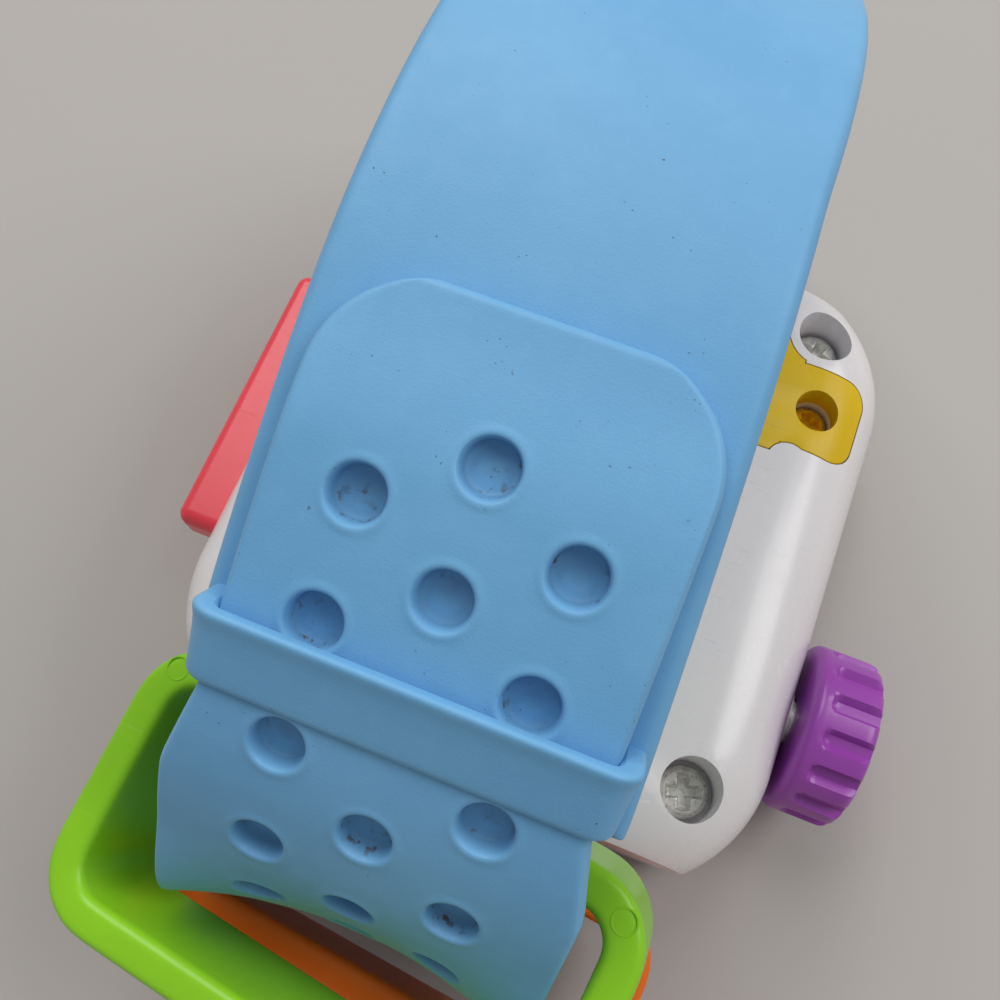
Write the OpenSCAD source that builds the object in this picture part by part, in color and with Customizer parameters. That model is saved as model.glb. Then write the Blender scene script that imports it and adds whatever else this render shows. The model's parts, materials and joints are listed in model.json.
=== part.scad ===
// Toy watch lying on its face with the strap buckled into a loop.
// Origin: centre of the bezel rim that it rests on. +Z points out of the back,
// +X to the crown and +Y to the end that carries the plain strap with the keeper.

/* [Case] */
// Width of the case from the button side to the crown side
case_w = 68.5; // [66:0.5:74]
// Length between the two flat strap ends
seat_l = 68; // [67:0.5:72]
// Length cut off the rounded outline at each strap end
end_cut = 4.5; // [4:0.1:6]
// Corner radius of the outline
corner_r = 17.5; // [16:0.5:20]
// Height of the back face above the surface that the watch lies on
case_t = 22; // [21.5:0.5:26]
// Height of the seam between the front shell and the back cover
split_z = 13; // [12.5:0.5:14]
// Rounding of the front shell's lower edge
front_r = 4; // [2:0.5:6]
// Thickness of the side walls
wall = 2.2; // [1.8:0.1:2.6]
// Thickness of the front plate and of the back
plate_t = 2.4; // [2:0.1:2.8]

/* [Case screws] */
// Distance of the two screws at the ring end from the case's sides
ring_screw_side = 8.75; // [8:0.05:9.5]
// Distance of the two screws at the ring end from that end
ring_screw_end = 7.8; // [7:0.1:10]
// Distance of the two screws at the plain end from the case's sides
plain_screw_side = 9.75; // [9:0.05:10.5]
// Distance of the two screws at the plain end from that end
plain_screw_end = 5.7; // [5.2:0.1:5.8]
// Diameter of the recess that each head sits in
recess_d = 6.6; // [6.2:0.1:7.2]
// Depth of the heads' seats below the back face
recess_depth = 7; // [6:0.5:8]
// Diameter of a screw head
head_d = 5.6; // [5:0.1:6]
// Height of a screw head
head_t = 1.9; // [1.5:0.1:2.2]
// Diameter of a screw shank
shank_d = 2.9; // [2.6:0.1:3.2]
// Length of a screw shank
shank_l = 9; // [7:0.5:10]
// Outer diameter of the screw bosses
boss_d = 7.2; // [6.8:0.1:8]

/* [Hatch] */
// Distance of the hatch from the case's sides, without its ears
hatch_side = 11.25; // [10.5:0.05:12]
// Distance of the hatch from the plain strap's end of the case
hatch_end = 7.2; // [6.5:0.1:9]
// Length of the hatch along the case
hatch_l = 14.8; // [14:0.1:15.5]
// Distance of the ears' holes from the case's sides
ear_side = 8.25; // [8:0.05:9]
// Distance of the ears' holes from the hatch's edge nearest the middle
ear_at = 6.5; // [6:0.1:7]
// Half length of an ear
ear_half_l = 5.2; // [4.8:0.1:5.4]
// Corner radius of an ear
ear_r = 2.6; // [2:0.1:3]
// Diameter of the hole in an ear
ear_hole_d = 5; // [4.6:0.1:5.4]
// Depth of the hatch below the back face
hatch_t = 3.4; // [3.2:0.1:3.8]
// Plastic left between the hatch and the recesses of the screws beside it
hatch_rim = 1.2; // [1:0.1:1.5]
// Radius of the notches in the hatch's corners below the ears
notch_r = 2.4; // [2:0.1:3]
// Reach of those notches into the hatch, across
notch_in = 1; // [0.5:0.1:1.5]
// Distance of the notches' centres past the hatch's edge
notch_out = 0.8; // [0.5:0.1:1.2]

/* [Bezel and dial] */
// Least distance of the round window in the front plate from the case's ends and sides
window_edge = 9; // [8.5:0.1:9.5]
// Width of the bezel rim outside the window
bezel_lip = 3; // [2:0.1:4]
// Thickness of the bezel's sleeve inside the window
bezel_sleeve = 2; // [1.5:0.1:3]
// Height of the bezel rim in front of the front plate
bezel_rim_t = 0.8; // [0.6:0.1:1.2]
// Depth of the dial below the bezel rim
dial_z = 5; // [4.8:0.1:5.4]
// Thickness of the dial
dial_t = 1.4; // [1.2:0.1:1.8]
// Overhang of the dial past the window
dial_lap = 0.6; // [0.4:0.1:0.8]
// Diameter of an hour mark
mark_d = 2.4; // [2:0.1:3]
// Height of an hour mark in front of the dial
mark_t = 0.6; // [0.4:0.1:0.8]
// Distance of the hour marks' centres from the bezel's inner edge
mark_edge = 3; // [2.5:0.1:5]

/* [Hands] */
// Diameter of the centre post
post_d = 4; // [3.6:0.1:4.4]
// Diameter of the post's tip, under the cap
tip_post_d = 2.4; // [2:0.1:2.6]
// Thickness of each hand
hand_t = 1.1; // [0.9:0.1:1.2]
// Outer diameter of the hands' hubs
hub_d = 9; // [8:0.5:10]
// Width of the hour hand's arm
hour_arm_w = 4.4; // [3.6:0.1:5]
// Width of the minute hand's arm
minute_arm_w = 3.4; // [2.8:0.1:4]
// Distance of the minute hand's end from the bezel's inner edge
minute_edge = 5; // [4:0.1:7]
// Length by which the hour hand is shorter than the minute hand
hour_short = 5; // [4:0.1:7]
// Turn of the hour hand, in degrees
hour_angle = 120; // [0:30:330]
// Turn of the minute hand, in degrees
minute_angle = 240; // [0:6:354]
// Distance of the washer's and the cap's edges from the hubs' edge
washer_edge = 0.5; // [0.3:0.1:1]
// Gap between hands, washer and cap
hand_gap = 0.2; // [0.15:0.05:0.25]
// Thickness of the washer between the hands
washer_t = 0.4; // [0.3:0.1:0.5]
// Thickness of the cap on the post
cap_t = 0.8; // [0.6:0.1:0.9]

/* [Crown] */
// Distance of the crown from the ring end of the case
crown_end = 19.9; // [19:0.1:21]
// Height of the crown's axis
crown_z = 11; // [10.5:0.1:11.5]
// Diameter of the knob
knob_d = 19; // [17:0.5:20]
// Length of the knob
knob_l = 7.4; // [6.6:0.2:8.6]
// Gap between the case and the knob
knob_gap = 0.7; // [0.5:0.1:1.5]
// Number of grooves round the knob
grooves = 15; // [10:1:18]
// Width of a groove
groove_w = 1.9; // [1.5:0.1:2.2]
// Depth of a groove
groove_depth = 0.9; // [0.6:0.1:1.2]
// Plain collar left between the grooves and the knob's inner face
groove_collar = 1.9; // [1.5:0.1:2.5]
// Rounding of the knob's edges
knob_edge = 1.1; // [0.8:0.1:1.4]
// Diameter of the crown shaft
shaft_d = 5; // [4.5:0.1:5.5]
// Outer diameter of the bush in the side wall
bush_d = 8; // [7.5:0.1:8.6]
// Thickness of the bush's flange inside the wall
bush_flange_t = 1; // [0.8:0.1:1.2]
// Width of the bush's flange past the bush
bush_flange_w = 1; // [0.8:0.1:1.2]
// Outer radius of the star wheel
star_r = 4.3; // [4.2:0.1:4.5]
// Number of clicks in a turn
clicks = 12; // [10:1:14]
// Radius of the hollows between the star's points
star_hollow_r = 0.9; // [0.8:0.05:1]
// Thickness of the star wheel
star_t = 2.5; // [2:0.1:2.6]
// Distance between the bush's flange and the star wheel
star_gap = 1; // [0.8:0.1:1.2]
// Thickness of the click spring's leaf
leaf_t = 0.5; // [0.4:0.1:0.6]
// Distance of the leaf's screw from the ears' holes, along the case
leaf_end = 15.6; // [14:0.1:16.5]
// Length of the leaf past the crown's axis
leaf_tail = 1.5; // [1:0.1:2]
// Diameter of the post that carries the leaf
click_post_d = 4.4; // [4:0.1:4.6]
// Thickness of the web between that post and the wall
click_web_t = 2; // [1.6:0.1:2.4]
// Diameter of the shanks of the two small screws
small_shank_d = 2; // [1.8:0.1:2.2]
// Length of those shanks
small_shank_l = 5; // [4:0.5:6]
// Diameter of the head of the shaft's screw
shaft_head_d = 6.4; // [6:0.1:6.8]
// Height of that head
shaft_head_t = 1.2; // [1:0.1:1.4]
// Diameter of the head of the leaf's screw
click_head_d = 3.2; // [3:0.1:3.4]
// Height of that head
click_head_t = 0.8; // [0.7:0.1:1]

/* [Side button] */
// Distance of the bar from the case's ends
bar_end = 16; // [15.5:0.5:18]
// Height of the bar
bar_h = 6; // [5:0.1:6.4]
// Distance that the bar stands out of the case
bar_out = 6; // [5:0.1:7]
// Rounding of the bar's corners
bar_r = 1.6; // [1.2:0.1:2]
// Rounding of the bar's outer edges
bar_edge = 1.5; // [1:0.1:1.8]
// Travel of the bar
bar_travel = 2; // [1.5:0.1:2.2]
// Width of the flange that keeps the bar in, at each end
bar_flange = 1.5; // [1:0.1:2]
// Thickness of that flange
bar_flange_t = 1; // [0.8:0.1:1.2]
// Distance of each return spring from the bar's end
spring_end = 6; // [5:0.5:8]
// Thickness of the block that a return spring pushes against
spring_stop_t = 1.7; // [1.4:0.1:2]
// Length of that block
spring_stop_l = 6; // [5:0.5:7]
// Mean diameter of a return spring
spring_d = 3.4; // [3:0.1:3.6]
// Wire diameter of a return spring
spring_wire = 0.45; // [0.4:0.05:0.5]
// Turns of a return spring
spring_turns = 4; // [3:1:4]
// Length of a return spring at rest
spring_l = 4.3; // [4:0.1:4.6]

/* [Straps] */
// Thickness of both straps
strap_t = 3; // [2.6:0.1:3.2]
// Width of the plain strap at its keeper
plain_w = 34.4; // [33.6:0.2:36]
// Width of the plain strap at the crest of the loop
crest_w = 31.9; // [31:0.1:33]
// Width of the plain strap where it turns down behind the crest
back_w = 30.4; // [30:0.1:33]
// Width of the plain strap at its root
root_w = 31; // [30:0.5:33]
// Shift of the loop's crest towards the side button
loop_lean = 1.1; // [0:0.1:1.5]
// Shift of the loop behind the crest towards the side button
back_lean = 1.7; // [0:0.1:2]
// Width of the dimpled strap near its tip
tip_w = 29.4; // [28:0.2:30]
// Width of the dimpled strap at its root
dimpled_w = 33; // [32:0.5:34]
// Corner radius of the tip
tip_r = 8; // [5:0.5:10]
// Height of the straps' outer faces where they leave the case
root_z = 3.6; // [3.5:0.1:4]
// Straight run of the plain strap out of the case
root_run = 5; // [4:0.5:7]
// Radius of the plain strap's bend beside the case
plain_bend_r = 15; // [13:0.5:17]
// Straight rise of the plain strap
plain_rise = 6; // [4:0.5:9]
// Height of the loop's large bend
crest_h = 44.2; // [42:0.2:46]
// Radius of the crest on the ring side
shoulder_r = 55; // [50:1:60]
// Turn of the crest on the ring side, in degrees
shoulder_turn = 19; // [17:0.5:21]
// Radius of the long flat stretch under the keeper
flat_r = 140; // [120:5:160]
// Turn of that stretch, in degrees
flat_turn = 10.5; // [9.5:0.5:11.5]
// Radius of the bend above the rings
ring_bend_r = 32; // [30:0.5:33]
// Radius of the bend below the rings
low_bend_r = 11; // [10:0.5:12]
// Straight run of the dimpled strap out of the case
low_run = 2.7; // [2:0.1:4]
// Height over which the plain strap narrows behind the crest
back_drop = 9; // [7:0.5:12]
// Length over which the dimpled strap widens below the keeper
taper_l = 7; // [5:0.5:10]
// Thickness of the dimpled strap at its tip
tip_t = 1.5; // [1.2:0.1:2.4]
// Length over which the tip comes up to full thickness
tip_thin_l = 8; // [6:0.5:8.5]
// Distance of the tip past the crest
tip_at = 17; // [15:0.5:18]
// Thickness of the bead that holds a strap inside the case
bead_t = 3.5; // [3:0.1:4]
// Height of that bead
bead_h = 5.4; // [5:0.1:6]
// Diameter of the stiffening pin in a bead
pin_d = 2; // [1.6:0.1:2.2]
// Distance of the pin's ends from the bead's ends
pin_short = 1; // [0.5:0.1:2]

/* [Keeper] */
// Distance from the tip to the middle of the keeper
keeper_at = 27.5; // [26:0.1:30]
// Length of the keeper along the strap
keeper_l = 6.2; // [5.6:0.1:7.5]
// Thickness of the keeper band
keeper_t = 1.7; // [1.4:0.1:2.2]
// Rounding of the keeper's ends
keeper_r = 3; // [2:0.2:3.2]
// Plain strap left past the keeper
keeper_tail = 1.5; // [1:0.1:2.5]

/* [Dimples] */
// Diameter of a dimple
dimple_d = 4.1; // [3.6:0.1:4.6]
// Depth of a dimple
dimple_depth = 1.5; // [1:0.1:1.8]
// Distance from the tip to the first dimple
dimple_first = 8.7; // [7.5:0.1:11]
// Distance from one row to the next
dimple_pitch = 4.72; // [4.4:0.02:5]
// Distance of the paired dimples from the middle
dimple_x = 7.8; // [7:0.1:8.6]
// Number of rows, single dimples and pairs by turns
dimple_rows = 12; // [8:1:12]

/* [Loop rings] */
// Outer length of the green ring
green_l = 48; // [47:0.2:50]
// Outer width of the green ring
green_w = 25.8; // [25:0.2:26.4]
// Outer length of the orange ring
orange_l = 50; // [48:0.2:51]
// Outer width of the orange ring
orange_w = 20.6; // [20:0.2:22]
// Depth of a ring along the strap
ring_h = 13; // [11:0.5:13.5]
// Wall of a ring
ring_wall = 3.4; // [3:0.1:3.6]
// Outer corner radius of a ring
ring_r = 6; // [5:0.5:7]
// Inner corner radius of a ring
ring_in_r = 2.8; // [2:0.1:3.5]
// Shift of the orange ring towards the crown
orange_x = 1.9; // [0:0.1:2.2]
// Shift of the green ring's upper rim towards the side button
green_x = 2; // [1.5:0.1:2.2]
// Distance of the green ring's middle from the strap's straight run beside the rings
green_y = 0.5; // [0.2:0.1:1]
// Height of the middle of the green ring's upper rim
green_z = 41.2; // [41:0.1:42]
// Lean of the green ring away from the case, in degrees
ring_lean = 8; // [6:0.5:9]
// Roll of the green ring towards the side button, in degrees
ring_roll = 9; // [6:0.5:10]
// Twist of the rings about their axis, in degrees
ring_twist = 5.5; // [4:0.5:6]
// Diameter of the round moulding marks on a rim
mark_pin_d = 2.2; // [1.8:0.1:2.4]
// Depth of the moulding marks
mark_pin_depth = 0.2; // [0.1:0.05:0.3]
// Distance of those marks' centres from the outer faces
mark_pin_edge = 2.8; // [2.4:0.1:3.2]

/* [Fits] */
// Radial running clearance of shafts and hubs
run_gap = 0.05; // [0.03:0.01:0.08]
// Gap round pieces that drop into a pocket
seat_gap = 0.15; // [0.1:0.05:0.2]
// Gap round pieces that slide
slide_gap = 0.3; // [0.2:0.05:0.4]
// Gap between the two straps where they overlap
lay_gap = 0.15; // [0.1:0.05:0.2]

/* [Hidden] */
$fn = 48;

blue = "#6fa3cf";
white = "#e8e6ea";
yellow = "#e6c62f";
green = "#7cbc3c";
orange = "#e07b28";
purple = "#8a3f9b";
red = "#e04050";
steel = "#9a9c98";

face_z = bezel_rim_t;
inside_z = face_z + plate_t;
seat_y = seat_l / 2;
side_x = case_w / 2;
case_l = seat_l + 2 * end_cut;
dome_r = case_t - split_z;
eps = 0.01;

// Corner screws as [x, y]
ring_screw_x = side_x - ring_screw_side;
ring_screw_y = seat_y - ring_screw_end;
plain_screw_x = side_x - plain_screw_side;
plain_screw_y = seat_y - plain_screw_end;
screw_spots = [
    [ring_screw_x, -ring_screw_y], [-ring_screw_x, -ring_screw_y],
    [plain_screw_x, plain_screw_y], [-plain_screw_x, plain_screw_y]
];
hatch_half_w = side_x - hatch_side;
hatch_y1 = seat_y - hatch_end;
hatch_y0 = hatch_y1 - hatch_l;
ear_x = side_x - ear_side;
ear_y = hatch_y0 + ear_at;
ear_spots = [[ear_x, ear_y], [-ear_x, ear_y]];
head_seat_z = case_t - recess_depth;
hatch_floor_z = case_t - hatch_t;
hatch_pad_z = hatch_floor_z - plate_t;
ear_seat_z = hatch_pad_z;
dial_back_z = dial_z + dial_t;
window_d = min(seat_l, case_w) - 2 * window_edge;
bezel_d = window_d + 2 * bezel_lip;
bezel_in_d = window_d - 2 * bezel_sleeve;
dial_d = window_d + 2 * dial_lap;
mark_ring_r = bezel_in_d / 2 - mark_edge;
minute_l = bezel_in_d / 2 - minute_edge;
hour_l = minute_l - hour_short;

// Heights of the stack on the centre post, from the dial towards the rim
hour_z = dial_z - hand_gap - hand_t;
washer_z = hour_z - hand_gap - washer_t;
minute_z = washer_z - hand_gap - hand_t;
cap_z = minute_z - hand_gap - cap_t;

// Stations of the crown's pieces along X
crown_y = crown_end - seat_y;
wall_in_x = side_x - wall;
flange_x = wall_in_x - bush_flange_t;
bush_flange_d = bush_d + 2 * bush_flange_w;
star_x = flange_x - star_gap - star_t;
knob_x = side_x + knob_gap;
shaft_end_x = knob_x + knob_l - groove_collar;
star_hollow_at = star_r + star_hollow_r * 0.4;
leaf_z = crown_z + star_r + slide_gap;
leaf_y = ear_y - leaf_end;
leaf_reach = leaf_y - crown_y;
leaf_w = star_t;
post_x = star_x + leaf_w / 2;

// Stations of the side button along X
bar_l = seat_l - 2 * bar_end;
spring_y = bar_l / 2 - spring_end;
bar_top_z = split_z - slide_gap;
bar_low_z = bar_top_z - bar_h;
bar_mid_z = (bar_top_z + bar_low_z) / 2;
flange_out_x = wall_in_x - seat_gap;
flange_in_x = flange_out_x - bar_flange_t;
spring_stop_x = flange_in_x - spring_l;
// The bosses under the hatch's ears leave room for the pressed button's flange
ear_boss_d = 2 * (flange_in_x - bar_travel - slide_gap - ear_x);

// The loop is one line: the plain strap's outer face, then the dimpled strap's inner face.
// Each stretch is ["line", length] or ["arc", radius, turn], turning towards the inside.
low_z = root_z + strap_t + lay_gap;
flat_end = shoulder_turn + flat_turn;
crest_z = root_z + plain_bend_r + plain_rise + crest_h;
bend_z = crest_z - shoulder_r * (1 - cos(shoulder_turn)) - flat_r * (cos(shoulder_turn) - cos(flat_end))
    - ring_bend_r * cos(flat_end);
ring_side_y = -seat_y - low_run - low_bend_r;
// The large bend spans what the rest leaves: two arcs of half a quarter turn, one beside and one on top
crest_span = seat_y + root_run + plain_bend_r - ring_side_y - shoulder_r * sin(shoulder_turn)
    - flat_r * (sin(flat_end) - sin(shoulder_turn)) - ring_bend_r * (1 - sin(flat_end));
half_turn = 45;
crest_side_r = (crest_h * sin(half_turn) - crest_span * (1 - cos(half_turn))) / (2 * cos(half_turn) - 1);
crest_top_r = (crest_span * sin(half_turn) - crest_h * (1 - cos(half_turn))) / (2 * cos(half_turn) - 1);
loop_line = [
    ["line", root_run], ["arc", plain_bend_r, 90], ["line", plain_rise],
    ["arc", crest_side_r, half_turn], ["arc", crest_top_r, half_turn],
    ["arc", shoulder_r, shoulder_turn], ["arc", flat_r, flat_turn], ["arc", ring_bend_r, 90 - flat_end],
    ["line", bend_z - low_bend_r - low_z], ["arc", low_bend_r, 90], ["line", low_run]
];
function stretch_l(k) = loop_line[k][0] == "line"
    ? loop_line[k][1]
    : loop_line[k][1] * loop_line[k][2] * PI / 180;
function line_l(count) = count == 0 ? 0 : stretch_l(count - 1) + line_l(count - 1);
function step(p, h, k, d) = loop_line[k][0] == "line"
    ? [p + d * [cos(h), sin(h)], h]
    : let (r = loop_line[k][1], a = d / r * 180 / PI)
        [p + r * [sin(h + a) - sin(h), cos(h) - cos(h + a)], h + a];
function walk(s, k = 0, p = [seat_y, root_z], h = 0) =
    let (l = stretch_l(k))
    (s <= l || k == len(loop_line) - 1)
        ? step(p, h, k, s)
        : let (e = step(p, h, k, l)) walk(s - l, k + 1, e[0], e[1]);
function beside(s, out) = let (q = walk(s)) q[0] + out * [sin(q[1]), -cos(q[1])];

crest_s = line_l(5);
tip_s = crest_s + tip_at;
keeper_s = tip_s + keeper_at;
plain_end_s = keeper_s + keeper_l / 2 + keeper_tail;
loop_end_s = line_l(len(loop_line));
path_step = 2;
tip_y = walk(tip_s)[0][0];
taper_y0 = walk(keeper_s + keeper_l / 2)[0][0];
taper_y1 = taper_y0 - taper_l;
keeper_in_w = tip_w + 2 * slide_gap;
crest_y = walk(crest_s)[0][0];
far_y = seat_y + root_run + plain_bend_r + strap_t;
seat_wall = plate_t;
bead_y = seat_y - seat_wall;
bead_z0 = inside_z + seat_gap;

// The rings stand on the dimpled strap's root, clear of the case's flat end
ring_clear = 0.5;
ring_foot_z = low_z + 3 * ring_clear;
orange_y = -seat_y - ring_clear - ring_r - (orange_l / 2 - ring_r) * sin(ring_twist)
    - (orange_w / 2 - ring_r) * cos(ring_twist);

// Rounded rectangle in the plan
module rounded_plan(w, l, r) {
    square([w - 2 * r, l], center = true);
    square([w, l - 2 * r], center = true);
    for (x = [-1, 1], y = [-1, 1]) translate([x * (w / 2 - r), y * (l / 2 - r)]) circle(r);
}

// Section of a rounded block's edge: r wide, from z0 to z1, with rounded lower and upper outer corners
module edge_section(r, z0, z1, low_r, high_r) {
    flat_w = r - max(low_r, high_r);
    side_h = z1 - z0 - low_r - high_r;
    if (flat_w > eps) translate([0, z0]) square([flat_w, z1 - z0]);
    if (side_h > eps) translate([0, z0 + low_r]) square([r, side_h]);
    if (low_r > 0) translate([r - low_r, z0 + low_r]) intersection() {
        circle(low_r);
        translate([0, -low_r]) square(low_r);
    }
    if (high_r > 0) translate([r - high_r, z1 - high_r]) intersection() {
        circle(high_r);
        square(high_r);
    }
}

// Rounded block made of turned corners, straight sides and a plain middle
module cushion(w, l, r, z0, z1, low_r, high_r) {
    cx = w / 2 - r;
    cy = l / 2 - r;
    translate([-cx, -cy, z0]) cube([2 * cx, 2 * cy, z1 - z0]);
    for (turn = [0, 180]) rotate(turn) {
        translate([cx, cy, 0]) rotate([90, 0, 0]) linear_extrude(2 * cy)
            edge_section(r, z0, z1, low_r, high_r);
        rotate(90) translate([cy, cx, 0]) rotate([90, 0, 0]) linear_extrude(2 * cx)
            edge_section(r, z0, z1, low_r, high_r);
        translate([cx, cy, 0]) rotate_extrude(angle = 90) edge_section(r, z0, z1, low_r, high_r);
        translate([-cx, cy, 0]) rotate(90) rotate_extrude(angle = 90)
            edge_section(r, z0, z1, low_r, high_r);
    }
}

// Slab that cuts the two strap ends flat
module between_seats(inset) {
    translate([-case_w, -seat_y + inset, -case_t]) cube([2 * case_w, seat_l - 2 * inset, 3 * case_t]);
}

// Outer shape of the back, from the seam up
module back_form() {
    intersection() {
        cushion(case_w, case_l, corner_r, split_z, case_t, 0, dome_r);
        between_seats(0);
    }
}

// Pan head screw with a cross slot, its head's seat at z = 0 and its shank pointing down
module pan_screw(head, height, shank, length) {
    slot_w = head / 6;
    slot_l = head * 0.62;
    difference() {
        union() {
            rotate_extrude() {
                square([head / 2 - height / 2, height]);
                square([head / 2, height / 2]);
                translate([head / 2 - height / 2, height / 2]) intersection() {
                    circle(height / 2);
                    square(height / 2);
                }
            }
            translate([0, 0, -length]) cylinder(d = shank, h = length);
        }
        for (a = [0, 90]) rotate(a) translate([-slot_l / 2, -slot_w / 2, height / 2])
            cube([slot_l, slot_w, height]);
    }
}

// Places its children on the loop line: y runs along it and z points to the inside
module on_loop(s) {
    q = walk(s);
    translate([0, q[0][0], q[0][1]]) rotate([q[1], 0, 0]) children();
}

// Thickness of the dimpled strap, which grows from the tip
function dimpled_t(s) = tip_t + (strap_t - tip_t) * max(0, min(1, (s - tip_s) / tip_thin_l));

// Flat band that follows the loop line from s0 to s1, outwards from out0, with a plain or a thinned tip
module band(s0, s1, out0, thinned, w) {
    count = ceil((s1 - s0) / path_step);
    places = [for (i = [0 : count]) s0 + (s1 - s0) * i / count];
    edge0 = [for (s = places) beside(s, out0)];
    edge1 = [for (i = [count : -1 : 0]) let (s = places[i])
        beside(s, out0 + (thinned ? dimpled_t(s) : strap_t))];
    rotate([90, 0, 90]) translate([0, 0, -w / 2]) linear_extrude(w) polygon(concat(edge0, edge1));
}

// Bead behind the slot in the case's end wall, with the strap's neck reaching into it
module strap_root(w) {
    translate([-w / 2, bead_y - bead_t, bead_z0]) cube([w, bead_t, bead_h]);
    translate([-w / 2, bead_y - bead_t, root_z]) cube([w, bead_t + seat_wall + eps, strap_t]);
}

module strap_slot(w) {
    translate([-w / 2 - seat_gap, seat_y - seat_wall - 1, root_z - seat_gap])
        cube([w + 2 * seat_gap, seat_wall + 2, strap_t + 2 * seat_gap]);
}

module pin_bore(w) {
    translate([-w / 2 - 1, bead_y - bead_t / 2, root_z + bead_h / 2])
        rotate([0, 90, 0]) cylinder(d = pin_d, h = w + 2);
}

module front_shell() {
    color(white) difference() {
        union() {
            difference() {
                intersection() {
                    cushion(case_w, case_l, corner_r, face_z, split_z, front_r, 0);
                    between_seats(0);
                }
                intersection() {
                    cushion(case_w - 2 * wall, case_l - 2 * wall, corner_r - wall,
                        inside_z, split_z + 1, 0, 0);
                    between_seats(seat_wall);
                }
            }
            for (p = screw_spots) translate([p[0], p[1], inside_z - eps])
                cylinder(d = boss_d, h = split_z - inside_z + eps);
            for (p = ear_spots) translate([p[0], p[1], inside_z - eps])
                cylinder(d = ear_boss_d, h = hatch_pad_z - plate_t - inside_z + eps);
            click_post();
            spring_stops();
        }
        translate([0, 0, face_z - 1]) cylinder(d = window_d, h = plate_t + 2);
        for (p = screw_spots) translate([p[0], p[1], head_seat_z - shank_l - 1])
            cylinder(d = shank_d, h = case_t);
        for (p = ear_spots) translate([p[0], p[1], ear_seat_z - shank_l - 1])
            cylinder(d = shank_d, h = case_t);
        on_crown(wall_in_x - 1) cylinder(d = bush_d, h = wall + 2);
        translate([-side_x - 1, -bar_l / 2 - slide_gap, bar_low_z - slide_gap])
            cube([wall + 2, bar_l + 2 * slide_gap, split_z]);
        strap_slot(root_w);
        rotate(180) strap_slot(dimpled_w);
    }
}

// Post for the click spring, grown into the crown-side wall
module click_post() {
    difference() {
        union() {
            translate([post_x, leaf_y, inside_z - eps])
                cylinder(d = click_post_d, h = leaf_z - inside_z + eps);
            translate([post_x, leaf_y - click_web_t / 2, inside_z - eps])
                cube([wall_in_x - post_x + eps, click_web_t, split_z - inside_z]);
        }
        translate([post_x, leaf_y, leaf_z - small_shank_l - 1])
            cylinder(d = small_shank_d, h = small_shank_l + 2);
    }
}

// Two blocks that the button's return springs push against
module spring_stops() {
    for (y = [-spring_y, spring_y])
        translate([-spring_stop_x, y - spring_stop_l / 2, inside_z - eps])
            cube([spring_stop_t, spring_stop_l, split_z - inside_z - seat_gap]);
}

module back_cover() {
    color(white) difference() {
        union() {
            difference() {
                back_form();
                intersection() {
                    cushion(case_w - 2 * wall, case_l - 2 * wall, corner_r - wall, split_z - 1,
                        case_t - plate_t, 0, dome_r - wall);
                    between_seats(seat_wall);
                }
            }
            intersection() {
                union() {
                    for (p = screw_spots) translate([p[0], p[1], split_z])
                        cylinder(d = recess_d + plate_t, h = case_t);
                    translate([0, 0, hatch_pad_z]) linear_extrude(case_t) hatch_plan(plate_t);
                    for (p = ear_spots) translate([p[0], p[1], hatch_pad_z - plate_t])
                        cylinder(d = ear_hole_d + plate_t, h = case_t);
                }
                back_form();
            }
        }
        for (p = screw_spots) translate([p[0], p[1], head_seat_z]) cylinder(d = recess_d, h = case_t);
        for (p = screw_spots) translate([p[0], p[1], split_z - 1])
            cylinder(d = shank_d + 2 * seat_gap, h = case_t);
        on_crown(wall_in_x - 1) cylinder(d = bush_d, h = wall + 2);
        on_crown(flange_x - 1) cylinder(d = bush_flange_d + 2 * seat_gap, h = bush_flange_t + 1);
        translate([0, 0, hatch_floor_z]) linear_extrude(case_t) hatch_plan(seat_gap);
        for (p = ear_spots) translate([p[0], p[1], ear_seat_z]) cylinder(d = ear_hole_d, h = case_t);
        for (p = ear_spots) translate([p[0], p[1], split_z - 1])
            cylinder(d = shank_d + 2 * seat_gap, h = case_t);
    }
}

module case_screws() {
    color(steel) for (p = screw_spots) translate([p[0], p[1], head_seat_z])
        pan_screw(head_d, head_t, shank_d, shank_l);
}

// Plan of the hatch: a bar with two ears, hollowed round the neighbouring screw recesses
module hatch_plan(grow) {
    recess_clear = recess_d / 2 + hatch_rim;
    difference() {
        union() {
            translate([-hatch_half_w - grow, hatch_y0 - grow])
                square([2 * (hatch_half_w + grow), hatch_y1 - hatch_y0 + 2 * grow]);
            for (p = ear_spots) translate(p)
                rounded_plan(2 * (ear_half_l + grow), 2 * (ear_half_l + grow), ear_r + grow);
        }
        for (side = [-1, 1]) {
            translate([side * plain_screw_x, plain_screw_y]) circle(recess_clear - grow);
            translate([side * (hatch_half_w + notch_r - notch_in), hatch_y0 - notch_out])
                circle(notch_r - grow);
        }
    }
}

module hatch() {
    color(yellow) difference() {
        intersection() {
            translate([0, 0, hatch_floor_z]) linear_extrude(case_t) hatch_plan(0);
            back_form();
        }
        for (p = ear_spots) translate([p[0], p[1], hatch_floor_z - 1]) cylinder(d = ear_hole_d, h = case_t);
    }
}

module hatch_screws() {
    color(steel) for (p = ear_spots) translate([p[0], p[1], ear_seat_z])
        pan_screw(ear_hole_d - 2 * seat_gap, head_t, shank_d, shank_l);
}

module bezel() {
    sleeve_r = window_d / 2;
    color(yellow) rotate_extrude() {
        translate([bezel_in_d / 2, 0]) square([bezel_d / 2 - bezel_in_d / 2, face_z]);
        translate([bezel_in_d / 2, 0]) square([sleeve_r - bezel_in_d / 2, dial_z]);
    }
}

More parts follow.
